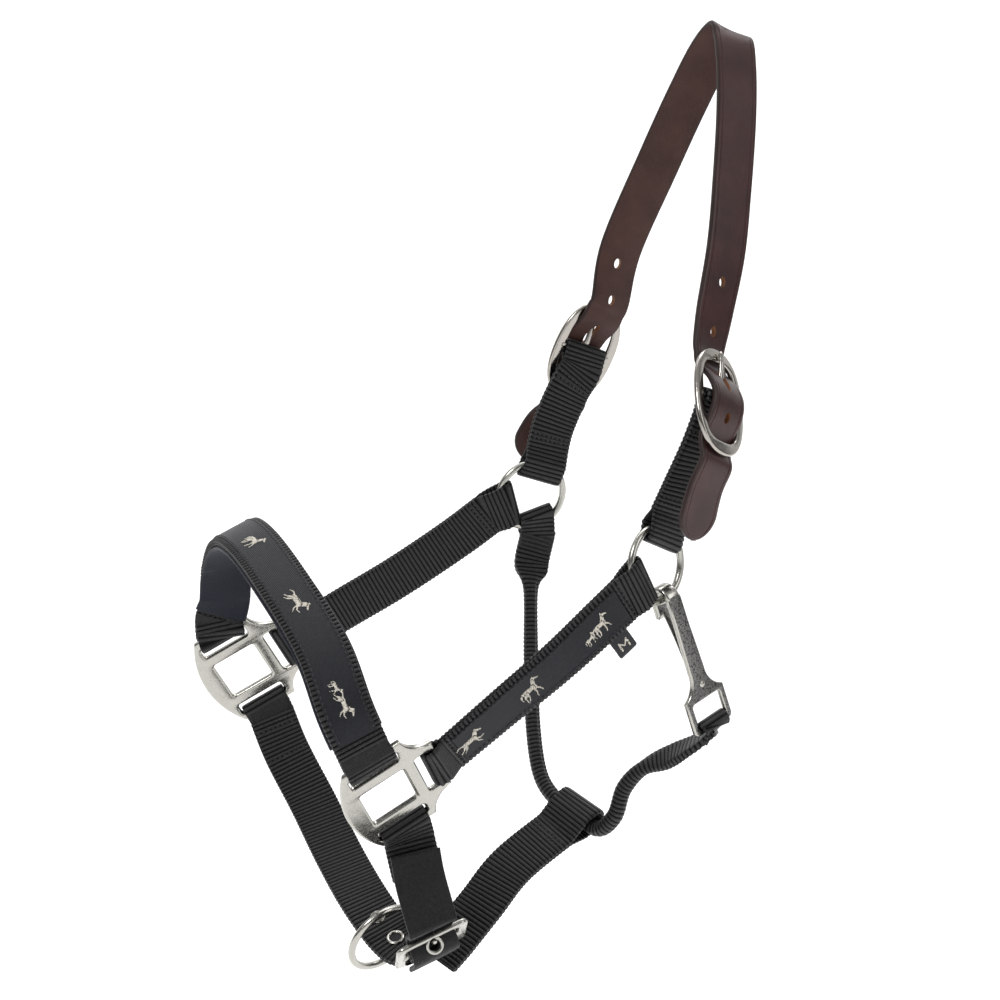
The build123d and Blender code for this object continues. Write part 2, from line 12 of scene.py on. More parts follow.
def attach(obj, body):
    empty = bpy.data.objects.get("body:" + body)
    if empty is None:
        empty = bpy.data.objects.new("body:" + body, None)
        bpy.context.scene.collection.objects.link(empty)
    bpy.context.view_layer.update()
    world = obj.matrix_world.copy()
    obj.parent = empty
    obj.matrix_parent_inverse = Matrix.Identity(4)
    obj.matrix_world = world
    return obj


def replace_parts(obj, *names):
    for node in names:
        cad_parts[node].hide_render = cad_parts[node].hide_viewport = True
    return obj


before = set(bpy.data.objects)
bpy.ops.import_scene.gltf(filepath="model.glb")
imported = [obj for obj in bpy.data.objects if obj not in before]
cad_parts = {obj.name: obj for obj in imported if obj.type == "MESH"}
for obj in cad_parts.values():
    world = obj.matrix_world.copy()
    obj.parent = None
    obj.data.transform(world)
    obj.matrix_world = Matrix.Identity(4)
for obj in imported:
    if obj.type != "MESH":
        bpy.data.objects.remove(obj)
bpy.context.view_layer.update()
MM = 0.001


# Camera: level, square to the near side

camera = bpy.data.objects.new("camera", bpy.data.cameras.new("camera"))
bpy.context.scene.collection.objects.link(camera)
camera.location = (-0.128, -1.1, -0.258)
camera.rotation_euler = (radians(90), 0, 0)
camera.data.sensor_width = 36
camera.data.lens = 71.28
camera.data.clip_end = 50
bpy.context.scene.camera = camera


# Places of the fittings, as in the CAD: x across the strap, z away from the horse

class Place:
    def __init__(self, origin, x, z):
        self.o = Vector(origin)
        self.z = Vector(z).normalized()
        side = Vector(x)
        self.x = (side - self.z * side.dot(self.z)).normalized()
        self.y = self.z.cross(self.x)

    def at(self, x, y, z=0.0):
        return self.o + self.x * x + self.y * y + self.z * z

    def into(self, point):
        away = point - self.o
        return Vector((away.dot(self.x), away.dot(self.y), away.dot(self.z)))

    def fold(self, reach, heading):
        along = self.x * cos(radians(heading)) + self.y * sin(radians(heading))
        return Place(self.o + along * reach, along, along.cross(self.z))


NEAR_RING = Place((-46, -60, -292), (0.70, 0.71, 0), (0.71, -0.70, -0.04))
FAR_RING = Place((-110, 60, -255), (0.94, 0.31, 0.13), (-0.34, 0.87, 0.37))
CHIN_RING = Place((-191, -31, -494), (0.79, 0.46, 0.41), (0.58, -0.63, -0.52))
NEAR_SQUARE = Place((-185, -95, -408), (0.84, 0.16, 0.52), (0.48, -0.68, -0.55))
FAR_SQUARE = Place((-277, 48, -356), (0.83, 0.05, 0.48), (-0.31, 0.78, 0.45))
NEAR_BUCKLE = Place((-14, -68, -207), (0.66, 0.70, -0.27), (0.74, -0.62, 0.26))
FAR_BUCKLE = Place((-79, 58, -171), (-0.84, -0.47, 0.26), (-0.37, 0.82, 0.35))
CHIN_BUCKLE = Place((-164, -66, -490), (0.88, 0.30, 0.37), (0.47, -0.41, -0.78))
SNAP = Place((-40.5, -53.5, -310), (0.75, 0.51, 0.41), (0.58, -0.81, -0.05))
THROAT_LOOP = Place((-86, 8, -433), (-0.65, -0.49, -0.59), (0.73, -0.53, -0.44))

# Each fold: its place (x along the leaving strap), the length and height of the hole in it
RING_REACH, RING_HOLE, RING_HEIGHT = 16.85, 10.9, 4.6
RAIL_REACH, RAIL_HOLE, RAIL_HEIGHT = 29.5, 7.4, 5.0
BAR_HOLE = 4.8


def ring_fold(place, heading):
    return place.fold(RING_REACH, heading), RING_HOLE, RING_HEIGHT


def rail_fold(place, heading):
    return place.fold(RAIL_REACH, heading), RAIL_HOLE, RAIL_HEIGHT


def bar_fold(place):
    return place.fold(0, -90), BAR_HOLE, RING_HEIGHT


NEAR_TAB_FOLD = ring_fold(NEAR_RING, 74)
NEAR_CHEEK_FOLD = ring_fold(NEAR_RING, 216)
FAR_TAB_FOLD = ring_fold(FAR_RING, -67)
FAR_CHEEK_FOLD = ring_fold(FAR_RING, 166)
THROAT_FOLD = ring_fold(FAR_RING, 76)
NEAR_NOSE_FOLD = rail_fold(NEAR_SQUARE, 90)
NEAR_SLOT_FOLD = rail_fold(NEAR_SQUARE, 0)
NEAR_CHIN_FOLD = rail_fold(NEAR_SQUARE, -90)
FAR_NOSE_FOLD = rail_fold(FAR_SQUARE, -90)
FAR_SLOT_FOLD = rail_fold(FAR_SQUARE, 0)
FAR_CHIN_FOLD = rail_fold(FAR_SQUARE, 90)
ROLL_HOLE, ROLL_HEIGHT = 16, 10.8
ROLL_FOLD = (THROAT_LOOP, ROLL_HOLE, ROLL_HEIGHT)


def leave(fold, reach, turn=1):
    return fold[0].at(reach, 0), fold[0].z * turn


def run(place, side, rows):
    return [(place.at(0, up, out), side) for up, out in rows]


RING_LEAVE, RAIL_LEAVE, BAR_LEAVE = 6, 4, 1.5
CROWN_THROUGH = [(-34, -4.2), (-27, -4.2), (-19.5, -3.4), (-10, 3.4), (0, 6.3), (10, 3.4),
                 (19.5, -3.4), (27, -4.2), (34, -4.2)]
CROWN = [
    ((-28, -71, -279), (0.76, 0.60, -0.14)),
    ((-22.5, -76.5, -254), (0.70, 0.66, -0.20)),
    *run(NEAR_BUCKLE, NEAR_BUCKLE.x, CROWN_THROUGH),
    ((-14, -48, -158), (0.78, 0.60, -0.20)),
    ((-7, -40, -124), (0.84, 0.52, -0.12)),
    ((-3, -32, -90), (0.86, 0.49, -0.12)),
    ((1, -19, -48), (0.88, 0.42, -0.18)),
    ((2, -9, -16), (0.90, 0.34, -0.26)),
    ((0, 1, 1.6), (0.92, 0.20, -0.34)),
    ((-9, 12, -6), (0.92, 0.14, -0.38)),
    ((-22, 23, -31), (0.91, 0.12, -0.40)),
    ((-38, 33, -66), (0.90, 0.15, -0.41)),
    ((-58, 43, -112), (0.88, 0.30, -0.37)),
    *run(FAR_BUCKLE, -FAR_BUCKLE.x, reversed(CROWN_THROUGH)),
    ((-102, 71, -213), (0.80, 0.46, -0.36)),
    ((-114, 78, -234), (0.78, 0.44, -0.42)),
]
NEAR_TAB = [
    leave(NEAR_TAB_FOLD, RING_LEAVE),
    ((-33, -60, -254), (0.72, 0.62, -0.30)),
    ((-24, -66, -232), (0.68, 0.67, -0.28)),
    (NEAR_BUCKLE.at(0, -BAR_LEAVE, -2.3), NEAR_BUCKLE.x),
]
FAR_TAB = [
    leave(FAR_TAB_FOLD, RING_LEAVE, -1),
    ((-97, 55, -215), (0.78, 0.46, -0.42)),
    ((-88, 53.5, -194), (0.82, 0.47, -0.33)),
    (FAR_BUCKLE.at(0, -10, -5.2), -FAR_BUCKLE.x),
    (FAR_BUCKLE.at(0, -BAR_LEAVE, -2.3), -FAR_BUCKLE.x),
]
NEAR_CHEEK = [
    leave(NEAR_SLOT_FOLD, RAIL_LEAVE, -1),
    ((-128, -86, -366), (-0.30, -0.66, 0.69)),
    ((-98, -82, -341), (-0.34, -0.58, 0.74)),
    ((-74, -78, -319), (-0.38, -0.48, 0.78)),
    leave(NEAR_CHEEK_FOLD, RING_LEAVE),
]
FAR_CHEEK = [
    leave(FAR_SLOT_FOLD, RAIL_LEAVE, -1),
    ((-220, 52, -322), (0.32, 0.50, -0.80)),
    ((-188, 55, -303), (0.29, 0.48, -0.83)),
    ((-155, 57, -281), (0.25, 0.46, -0.85)),
    leave(FAR_CHEEK_FOLD, RING_LEAVE),
]
NOSE = [
    leave(NEAR_NOSE_FOLD, RAIL_LEAVE, -1),
    ((-204, -126, -362), (-0.86, -0.22, -0.48)),
    ((-217, -113, -331), (-0.87, -0.30, -0.42)),
    ((-239, -85, -301), (-0.86, -0.36, -0.40)),
    ((-260, -47, -280), (-0.85, -0.34, -0.42)),
    ((-275, -10, -276), (-0.85, -0.26, -0.48)),
    ((-283, 15, -292), (-0.86, -0.16, -0.50)),
    ((-285, 26, -314), (-0.85, -0.10, -0.50)),
    leave(FAR_NOSE_FOLD, RAIL_LEAVE),
]
NEAR_CHIN = [
    leave(NEAR_CHIN_FOLD, RAIL_LEAVE),
    ((-174, -70, -440), (-0.86, -0.20, -0.48)),
    ((-171, -71, -452), (-0.87, -0.22, -0.44)),
]
FAR_CHIN = [
    leave(FAR_CHIN_FOLD, RAIL_LEAVE),
    ((-253, 59, -405), (0.84, 0.22, 0.48)),
    ((-236, 42, -432), (0.82, 0.36, 0.44)),
    ((-218, 12, -458), (0.80, 0.44, 0.42)),
    ((-202, -16, -477), (0.79, 0.46, 0.41)),
    ((-187, -34, -492), (0.79, 0.46, 0.41)),
    ((-176, -45, -497), (0.86, 0.34, 0.39)),
    (CHIN_BUCKLE.at(0, -16, -7.4), CHIN_BUCKLE.x),
    (CHIN_BUCKLE.at(0, -8, -5.4), CHIN_BUCKLE.x),
    (CHIN_BUCKLE.at(0, -BAR_LEAVE, -2.3), CHIN_BUCKLE.x),
]
CHIN_THROUGH = [(27, -2), (18, -3.9), (12, -4), (8.6, -1.2), (5.6, 3.6), (2, 6.2), (-3, 6.2),
                (-13, 3.6), (-19, 3)]
CHIN_STRAP = [
    ((-172, -76, -440), (0.85, 0.20, 0.49)),
    ((-169, -78, -455), (0.87, 0.24, 0.44)),
    *run(CHIN_BUCKLE, CHIN_BUCKLE.x, CHIN_THROUGH),
]
REAR = [
    ((-162, -40, -503), (0.73, -0.53, -0.44)),
    ((-153, -34, -494), (0.73, -0.53, -0.44)),
    ((-138, -25, -477), (0.73, -0.53, -0.44)),
    ((-121, -13, -458), (0.73, -0.53, -0.44)),
    (THROAT_LOOP.at(7, 0), THROAT_LOOP.z),
]
ROLL = 4.5
SNAP_BAR = Place(SNAP.at(0, -74, 6.1), SNAP.x, SNAP.z)
# Rows of the throat strap also hold half its width and half its thickness
THROAT = [
    (*leave(THROAT_FOLD, RING_LEAVE), 10.3, 2.1),
    ((-109, 66.5, -292), (0.92, 0.36, 0.20), 10.6, 2.3),
    ((-109.5, 64, -300), (0.92, 0.36, 0.20), 9.6, 2.8),
    ((-110, 60, -312), (0.90, 0.40, 0.20), ROLL, ROLL),
    ((-110, 50, -350), (0.90, 0.40, 0.20), ROLL, ROLL),
    ((-109, 37, -388), (0.90, 0.40, 0.20), ROLL, ROLL),
    ((-105, 25, -414), (0.90, 0.40, 0.20), ROLL, ROLL),
    ((-96, 15, -427), (0.68, 0.26, 0.68), ROLL, ROLL),
    ((-86, 8, -433), (0.60, 0.16, 0.78), ROLL, ROLL),
    ((-74, -1, -440.5), (0.60, 0.16, 0.78), ROLL, ROLL),
    ((-65, -10, -432), (0.70, 0.20, 0.68), ROLL, ROLL),
    ((-60, -15, -416), (0.84, 0.30, 0.44), ROLL, ROLL),
    ((-50, -21, -404), (0.60, 0.30, 0.74), ROLL + 0.5, ROLL - 0.6),
    ((-36, -27, -397), (0.60, 0.36, 0.72), 8, 2.8),
    ((-23, -34, -389), (0.70, 0.46, 0.56), 9.4, 2.2),
    (SNAP.at(0, -79, 6.2), SNAP.x, 9.4, 2.0),
]


# Curves

def eased(a, b, c, d, t):
    return 0.5 * (2 * b + (c - a) * t + (2 * a - 5 * b + 4 * c - d) * t * t
                  + (3 * b - a - 3 * c + d) * t * t * t)


def smooth(rows, steps):
    rows = [rows[0] * 2 - rows[1], *rows, rows[-1] * 2 - rows[-2]]
    fine = []
    for i in range(1, len(rows) - 2):
        for k in range(steps):
            fine.append(eased(rows[i - 1], rows[i], rows[i + 1], rows[i + 2], k / steps))
    return fine + [rows[-2]]


def framed(points, sides):
    """Rows (point, across, outward, distance along) from points and rough directions across."""
    rows = []
    far = 0.0
    for i, point in enumerate(points):
        ahead = points[min(i + 1, len(points) - 1)] - points[max(i - 1, 0)]
        ahead.normalize()
        side = (sides[i] - ahead * sides[i].dot(ahead)).normalized()
        if i:
            far += (point - points[i - 1]).length
        rows.append((point, side, ahead.cross(side), far))
    return rows


def lane(stations, steps):
    points = smooth([Vector(row[0]) for row in stations], steps)
    sides = smooth([Vector(row[1]).normalized() for row in stations], steps)
    return framed(points, sides)


def even(points, sides, step):
    """Points and sides spread again at an even spacing."""
    out_points = [points[0]]
    out_sides = [sides[0]]
    need = step
    for i in range(1, len(points)):
        gap = (points[i] - points[i - 1]).length
        while gap >= need > 0:
            t = need / gap if gap else 0
            out_points.append(points[i - 1].lerp(points[i], t))
            out_sides.append(sides[i - 1].lerp(sides[i], t))
            need += step
        need -= gap
    return out_points, out_sides


def relax(points, turns):
    """Takes the corners off a line, its ends kept."""
    for _ in range(turns):
        inner = [(a + b * 2 + c) / 4 for a, b, c in zip(points, points[1:], points[2:])]
        points = [points[0], *inner, points[-1]]
    return points


def hull(points):
    points = sorted(points)

    def half(seq):
        line = []
        for p in seq:
            while len(line) > 1 and ((line[-1][0] - line[-2][0]) * (p[1] - line[-2][1])
                                     - (line[-1][1] - line[-2][1]) * (p[0] - line[-2][0])) <= 0:
                line.pop()
            line.append(p)
        return line[:-1]
    return half(points) + half(points[::-1])


PLY = 1.0


def round_fold(fold, start, stop, side, end_side):
    """The taut line of one ply from start, round what the fold holds, to stop."""
    place, hole, height = fold
    a = place.into(start)
    b = place.into(stop)
    reach = (hole - height) / 2
    radius = height / 2 + PLY
    ring = [(c + radius * cos(pi * k / 24), radius * sin(pi * k / 24))
            for c in (-reach, reach) for k in range(48)]
    first, last = (a.x, a.y), (b.x, b.y)
    line = hull([*ring, first, last])
    i = line.index(first)
    line = line[i:] + line[:i]
    if line[1] == last:
        line = [line[0], *line[:0:-1]]
    line = line[:line.index(last) + 1]
    points = []
    sides = []
    near = side.dot(place.z) > 0
    for x, y in line:
        weight = max(0.0, min(1.0, (x + reach) / (a.x + reach)))
        points.append(place.at(x, y, weight * (a.z + b.z) / 2))
        sides.append((place.z if near else -place.z).lerp(end_side, weight))
    return points, sides


# How far from a fold's middle the straight part of a strap starts, by the fold's hole
CLEAR = {RING_HOLE: 10.5, RAIL_HOLE: 8.5, BAR_HOLE: 9.0, ROLL_HOLE: 15.0}


def trimmed(stations, first, last):
    rows = lane(stations, 40)

    def free(row):
        return all(f is None or f[0].into(row[0]).length > CLEAR[f[1]] for f in (first, last))
    return [row for row in rows if free(row)]


def loop_rows(stations, first, last, step):
    """The closed line of a doubled strap: out along its outer ply and back along its inner."""
    rows = trimmed(stations, first, last)
    outer = [p + n * PLY for p, _, n, _ in rows]
    inner = [p - n * PLY for p, _, n, _ in rows][::-1]
    sides = [x for _, x, _, _ in rows]
    points = list(outer)
    across = list(sides)
    for fold, back, edge in ((last, inner, sides[-1]), (first, outer, sides[0])):
        if fold:
            more, more_sides = round_fold(fold, points[-1], back[0], edge, edge)
            points += more[1:-1]
            across += more_sides[1:-1]
        else:
            points.append((points[-1] + back[0]) / 2 + (points[-1] - points[-2]).normalized() * PLY)
            across.append(edge)
        if back is inner:
            points += inner
            across += sides[::-1]
    return even(points, across, step)


# Meshes

def piece(name, vertices, faces, material, slot, body="straps", uv=None, sharp=None):
    mesh = bpy.data.meshes.new(name)
    mesh.from_pydata([v * MM for v in vertices], [], faces)
    if uv:
        layer = mesh.uv_layers.new(name="strap")
        for loop in mesh.loops:
            layer.data[loop.index].uv = uv[loop.vertex_index]
    mesh.shade_smooth()
    if sharp:
        mesh.set_sharp_from_angle(angle=radians(sharp))
    mesh.materials.append(material)
    made = bpy.data.objects.new(name, mesh)
    bpy.context.scene.collection.objects.link(made)
    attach(made, body)
    return made


def sweep(rows, section, closed=False):
    """Vertices, faces and uv of a section, a list of (across, outward), carried along rows."""
    vertices = []
    uv = []
    count = 0
    for i, (point, side, out, far) in enumerate(rows):
        ring = section(i, far)
        count = len(ring)
        for u, v in ring:
            vertices.append(point + side * u + out * v)
            uv.append((u / 10, far / 10))
    faces = []
    last = len(rows) if closed else len(rows) - 1
    for i in range(last):
        a = i * count
        b = ((i + 1) % len(rows)) * count
        for k in range(count):
            m = (k + 1) % count
            faces.append((a + k, b + k, b + m, a + m))
    if not closed:
        faces.append(tuple(range(count)))
        faces.append(tuple(range((len(rows) - 1) * count, len(rows) * count))[::-1])
    return vertices, faces, uv


WEB_HALF = 13.5
RIB_PITCH = 2.5
STEP = RIB_PITCH / 6


def rib(far):
    return abs(sin(pi * far / RIB_PITCH)) ** 0.7


def web_section(half):
    """One ply of ribbed webbing: the ribs are on its outer face and its edges."""
    def section(i, far):
        crest = rib(far)
        edge = half - 0.4 + 0.4 * crest
        top = 0.52 + 0.60 * crest
        ring = [(edge * k / 6, top) for k in range(6, -7, -1)]
        ring[0] = (edge * 0.975, top - 0.16)
        ring[-1] = (-edge * 0.975, top - 0.16)
        ring += [(-edge, 0.2), (-edge, -0.5), (-edge * 0.97, -0.93), (-edge / 3, -0.93)]
        ring += [(edge / 3, -0.93), (edge * 0.97, -0.93), (edge, -0.5), (edge, 0.2)]
        return ring
    return section


def doubled(name, stations, first, last):
    """A strap of two plies of webbing, folded round a fitting at its ends."""
    points, sides = loop_rows(stations, first, last, STEP)
    vertices, faces, uv = sweep(framed(points, sides), web_section(WEB_HALF), closed=True)
    return piece(name, vertices, faces, WEB, "webbing", uv=uv)


# Materials

def shader(name, colour, rough, metal=0.0):
    made = bpy.data.materials.new(name)
    made.use_nodes = True
    nodes = made.node_tree.nodes
    bsdf = nodes["Principled BSDF"]
    bsdf.inputs["Base Color"].default_value = (*colour, 1)
    bsdf.inputs["Roughness"].default_value = rough
    bsdf.inputs["Metallic"].default_value = metal
    return made, nodes, made.node_tree.links, bsdf


def strap_coords(nodes, links, scale, turn=0.0):
    coords = nodes.new("ShaderNodeUVMap")
    coords.uv_map = "strap"
    mapping = nodes.new("ShaderNodeMapping")
    mapping.inputs["Scale"].default_value = (scale[0], scale[1], 1)
    mapping.inputs["Rotation"].default_value = (0, 0, turn)
    links.new(coords.outputs["UV"], mapping.inputs["Vector"])
    return mapping.outputs["Vector"]


def object_noise(nodes, links, scale, detail=4.0, stretch=(1, 1, 1)):
    coords = nodes.new("ShaderNodeTexCoord")
    mapping = nodes.new("ShaderNodeMapping")
    mapping.inputs["Scale"].default_value = stretch
    links.new(coords.outputs["Object"], mapping.inputs["Vector"])
    noise = nodes.new("ShaderNodeTexNoise")
    noise.inputs["Scale"].default_value = scale
    noise.inputs["Detail"].default_value = detail
    links.new(mapping.outputs["Vector"], noise.inputs["Vector"])
    return noise.outputs["Fac"]


def ramp(nodes, links, source, stops):
    made = nodes.new("ShaderNodeValToRGB")
    links.new(source, made.inputs["Fac"])
    elements = made.color_ramp.elements
    while len(elements) < len(stops):
        elements.new(0.5)
    for element, (place, colour) in zip(elements, stops):
        element.position = place
        element.color = (*colour, 1)
    return made.outputs["Color"]


def bump(nodes, links, bsdf, source, strength, distance, before=None):
    made = nodes.new("ShaderNodeBump")
    made.inputs["Strength"].default_value = strength
    made.inputs["Distance"].default_value = distance
    links.new(source, made.inputs["Height"])
    if before:
        links.new(before.outputs["Normal"], made.inputs["Normal"])
    links.new(made.outputs["Normal"], bsdf.inputs["Normal"])
    return made


def ribbed(nodes, links):
    """How high the rib is, from 0 in the groove to 1 on its crest; the mask of the painted shade in the
    grooves.
    """
    coords = nodes.new("ShaderNodeUVMap")
    coords.uv_map = "strap"
    split = nodes.new("ShaderNodeSeparateXYZ")
    links.new(coords.outputs["UV"], split.inputs["Vector"])
    value = split.outputs["Y"]
    for operation, amount in (("MULTIPLY", 10 * pi / RIB_PITCH), ("SINE", 0), ("ABSOLUTE", 0)):
        step = nodes.new("ShaderNodeMath")
        step.operation = operation
        links.new(value, step.inputs[0])
        step.inputs[1].default_value = amount
        value = step.outputs["Value"]
    return value


def woven(name, dark, light, yarn, rough, sheen, strength=0.35, ribs=False):
    """Yarns laid side by side: fine cords along the strap, broken up by noise. With ribs, painted shade
    darkens the colour in the grooves between the ribs, and the specular level is lowered there too.
    """
    made, nodes, links, bsdf = shader(name, dark, rough)
    wave = nodes.new("ShaderNodeTexWave")
    wave.bands_direction = "X"
    wave.inputs["Scale"].default_value = 1
    wave.inputs["Distortion"].default_value = 1.6
    wave.inputs["Detail"].default_value = 2
    wave.inputs["Detail Scale"].default_value = 1.5
    links.new(strap_coords(nodes, links, (3.1 / yarn, 1.4)), wave.inputs["Vector"])
    first = bump(nodes, links, bsdf, wave.outputs["Fac"], strength, 0.0004)
    fine = object_noise(nodes, links, 2600, 2)
    bump(nodes, links, bsdf, fine, 0.35, 0.0003, first)
    patch = object_noise(nodes, links, 900, 3)
    colour = ramp(nodes, links, patch, [(0.3, dark), (0.75, light)])
    # painted shade: the colour is multiplied down to 0.12 in the grooves between the ribs, and the
    # grooves get a lower specular level as well
    if ribs:
        shade = ramp(nodes, links, ribbed(nodes, links), [(0.15, (0.12,) * 3), (0.85, (1.0,) * 3)])
        groove_shaded = nodes.new("ShaderNodeVectorMath")
        groove_shaded.operation = "MULTIPLY"
        links.new(colour, groove_shaded.inputs[0])
        links.new(shade, groove_shaded.inputs[1])
        colour = groove_shaded.outputs["Vector"]
        links.new(ramp(nodes, links, ribbed(nodes, links), [(0.2, (0.05,) * 3), (0.9, (0.4,) * 3)]),
                  bsdf.inputs["Specular IOR Level"])
    links.new(colour, bsdf.inputs["Base Color"])
    if not ribs:
        bsdf.inputs["Specular IOR Level"].default_value = 0.22
    bsdf.inputs["Sheen Weight"].default_value = sheen
    bsdf.inputs["Sheen Roughness"].default_value = 0.45
    return made


def metal(name, colour, rough, grain, depth, speck=0.0):
    made, nodes, links, bsdf = shader(name, colour, rough, 1.0)
    fine = object_noise(nodes, links, grain, 5)
    low = rough * 0.8
    high = rough * 1.35
    links.new(ramp(nodes, links, fine, [(0.3, (low,) * 3), (0.7, (high,) * 3)]),
              bsdf.inputs["Roughness"])
    bump(nodes, links, bsdf, fine, depth, 0.0002)
    if speck:
        spots = object_noise(nodes, links, grain * 0.7, 6)
        shade = tuple(c * speck for c in colour)
        links.new(ramp(nodes, links, spots, [(0.40, shade), (0.52, colour)]),
                  bsdf.inputs["Base Color"])
    return made


def leather_look(name, dark, light, rough, coat, depth):
    made, nodes, links, bsdf = shader(name, dark, rough)
    cloud = object_noise(nodes, links, 55, 4)
    links.new(ramp(nodes, links, cloud, [(0.3, dark), (0.72, light)]), bsdf.inputs["Base Color"])
    cells = nodes.new("ShaderNodeTexVoronoi")
    cells.inputs["Scale"].default_value = 1500
    coords = nodes.new("ShaderNodeTexCoord")
    links.new(coords.outputs["Object"], cells.inputs["Vector"])
    first = bump(nodes, links, bsdf, cells.outputs["Distance"], depth, 0.0002)
    bump(nodes, links, bsdf, object_noise(nodes, links, 130, 6), 0.25, 0.0006, first)
    bsdf.inputs["Specular IOR Level"].default_value = 0.32
    bsdf.inputs["Coat Weight"].default_value = coat
    bsdf.inputs["Coat Roughness"].default_value = 0.22
    return made


# the black webbing carries painted shade in the grooves between its ribs
WEB = woven("webbing_black", (0.004, 0.004, 0.0045), (0.018, 0.018, 0.019), 1.15, 0.46, 0.05,
            ribs=True)
PLAIN = woven("webbing_plain", (0.005, 0.005, 0.0055), (0.017, 0.017, 0.018), 0.7, 0.55, 0.05, 0.5)
THREAD = woven("thread_black", (0.008, 0.008, 0.010), (0.022, 0.022, 0.026), 0.5, 0.5, 0.2)
RIBBON = woven("ribbon_navy", (0.007, 0.0075, 0.010), (0.013, 0.014, 0.019), 0.8, 0.5, 0.08, 0.45)
LINING = woven("lining_navy", (0.008, 0.010, 0.017), (0.012, 0.015, 0.025), 0.5, 0.6, 0.15, 0.25)
TAG = woven("tag_grey", (0.020, 0.021, 0.024), (0.035, 0.036, 0.040), 0.5, 0.55, 0.1, 0.5)
SILVER = woven("thread_silver", (0.66, 0.61, 0.52), (0.95, 0.91, 0.82), 0.5, 0.4, 0.2)
GRAIN = leather_look("leather_havana", (0.030, 0.0115, 0.0115), (0.052, 0.0195, 0.018), 0.36, 0.12, 0.18)
FLESH = leather_look("leather_flesh", (0.040, 0.017, 0.014), (0.064, 0.028, 0.022), 0.62, 0.0, 0.4)
EDGE = leather_look("leather_edge", (0.014, 0.006, 0.005), (0.024, 0.010, 0.009), 0.45, 0.1, 0.2)
TAN = leather_look("leather_tan", (0.16, 0.065, 0.025), (0.26, 0.11, 0.045), 0.7, 0.0, 0.4)
NICKEL = metal("nickel_satin", (0.44, 0.43, 0.395), 0.22, 700, 0.10)
PEWTER = metal("nickel_polished", (0.40, 0.375, 0.345), 0.16, 500, 0.12)
CAST = metal("nickel_cast", (0.20, 0.197, 0.193), 0.30, 1500, 0.35, speck=0.30)
SPRING = metal("spring_steel", (0.30, 0.29, 0.27), 0.30, 900, 0.15)


# Webbing straps

for name, node, stations, first, last in (
    ("tab_near", "crown_tab_near", NEAR_TAB, NEAR_TAB_FOLD, bar_fold(NEAR_BUCKLE)),
    ("tab_far", "crown_tab_far", FAR_TAB, FAR_TAB_FOLD, bar_fold(FAR_BUCKLE)),
    ("cheek_near", "cheek_webbing_near", NEAR_CHEEK, NEAR_SLOT_FOLD, NEAR_CHEEK_FOLD),
    ("cheek_far", "cheek_webbing_far", FAR_CHEEK, FAR_SLOT_FOLD, FAR_CHEEK_FOLD),
    ("nose_band", "nose_webbing", NOSE, NEAR_NOSE_FOLD, FAR_NOSE_FOLD),
    ("chin_loop", "chin_loop_near", NEAR_CHIN, NEAR_CHIN_FOLD, None),
    ("chin_far", "chin_strap_far", FAR_CHIN, FAR_CHIN_FOLD, bar_fold(CHIN_BUCKLE)),
    ("rear", "rear_strap", REAR, None, ROLL_FOLD),
):
    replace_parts(doubled(name + "_webbing", stations, first, last), node)


# Ribbons and lining, sewn on the straps

def cut_rows(stations, skip, step):
    """Rows of a lane with a length left off at each end."""
    rows = lane(stations, 60)
    total = rows[-1][3]
    kept = [row for row in rows if skip[0] < row[3] < total - skip[1]]
    points, sides = even([row[0] for row in kept], [row[1] for row in kept], step)
    return framed(points, sides)


def ribbon_section(half, middle, thick, wobble):
    def section(i, far):
        edge = half + wobble * sin(far * 2.1)
        top = middle + thick / 2
        low = middle - thick / 2
        ring = [(edge * k / 5, top) for k in range(5, -6, -1)]
        ring[0] = (edge * 0.985, top - 0.08)
        ring[-1] = (-edge * 0.985, top - 0.08)
        ring[1] = (edge * 0.9, top - 0.12)
        ring[-2] = (-edge * 0.9, top - 0.12)
        return ring + [(-edge, middle), (-edge * 0.985, low), (edge * 0.985, low), (edge, middle)]
    return section


def sewn(name, node, stations, skip, section, material, slot, step=1.0):
    rows = cut_rows(stations, skip, step)
    vertices, faces, uv = sweep(rows, section)
    made = piece(name, vertices, faces, material, slot, uv=uv, sharp=50)
    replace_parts(made, node)
    return made


OUT = 2.0 + 0.3 + 0.12
ribbon_shape = ribbon_section(10.5, OUT, 0.6, 0.12)
sewn("cheek_near_ribbon", "cheek_ribbon_near", NEAR_CHEEK, (9, 9), ribbon_shape, RIBBON, "ribbon")
sewn("cheek_far_ribbon", "cheek_ribbon_far", FAR_CHEEK, (9, 9), ribbon_shape, RIBBON, "ribbon")
sewn("nose_band_ribbon", "nose_ribbon", NOSE, (13, 11), ribbon_shape, RIBBON, "ribbon")


def lining_section(i, far):
    """A padded strip: full in the middle, rolled at the edges, dimpled where it is sewn."""
    dimple = 0.22 * max(0.0, cos(2 * pi * far / 3.2)) ** 6
    top = -2.08
    ring = [(14.2, top - 0.1), (7, top), (-7, top), (-14.2, top - 0.1)]
    ring += [(-14.6, -2.7), (-14.4, -3.6), (-13.3, -4.2), (-12.2, -4.1 + dimple), (-11, -4.35)]
    ring += [(-7, -4.65), (0, -4.72), (7, -4.65)]
    return ring + [(11, -4.35), (12.2, -4.1 + dimple), (13.3, -4.2), (14.4, -3.6), (14.6, -2.7)]


lining = sewn("nose_band_lining", "nose_padding", NOSE, (12, 9), lining_section, LINING, "lining",
              0.8)


# Stitching: short threads laid on a strap

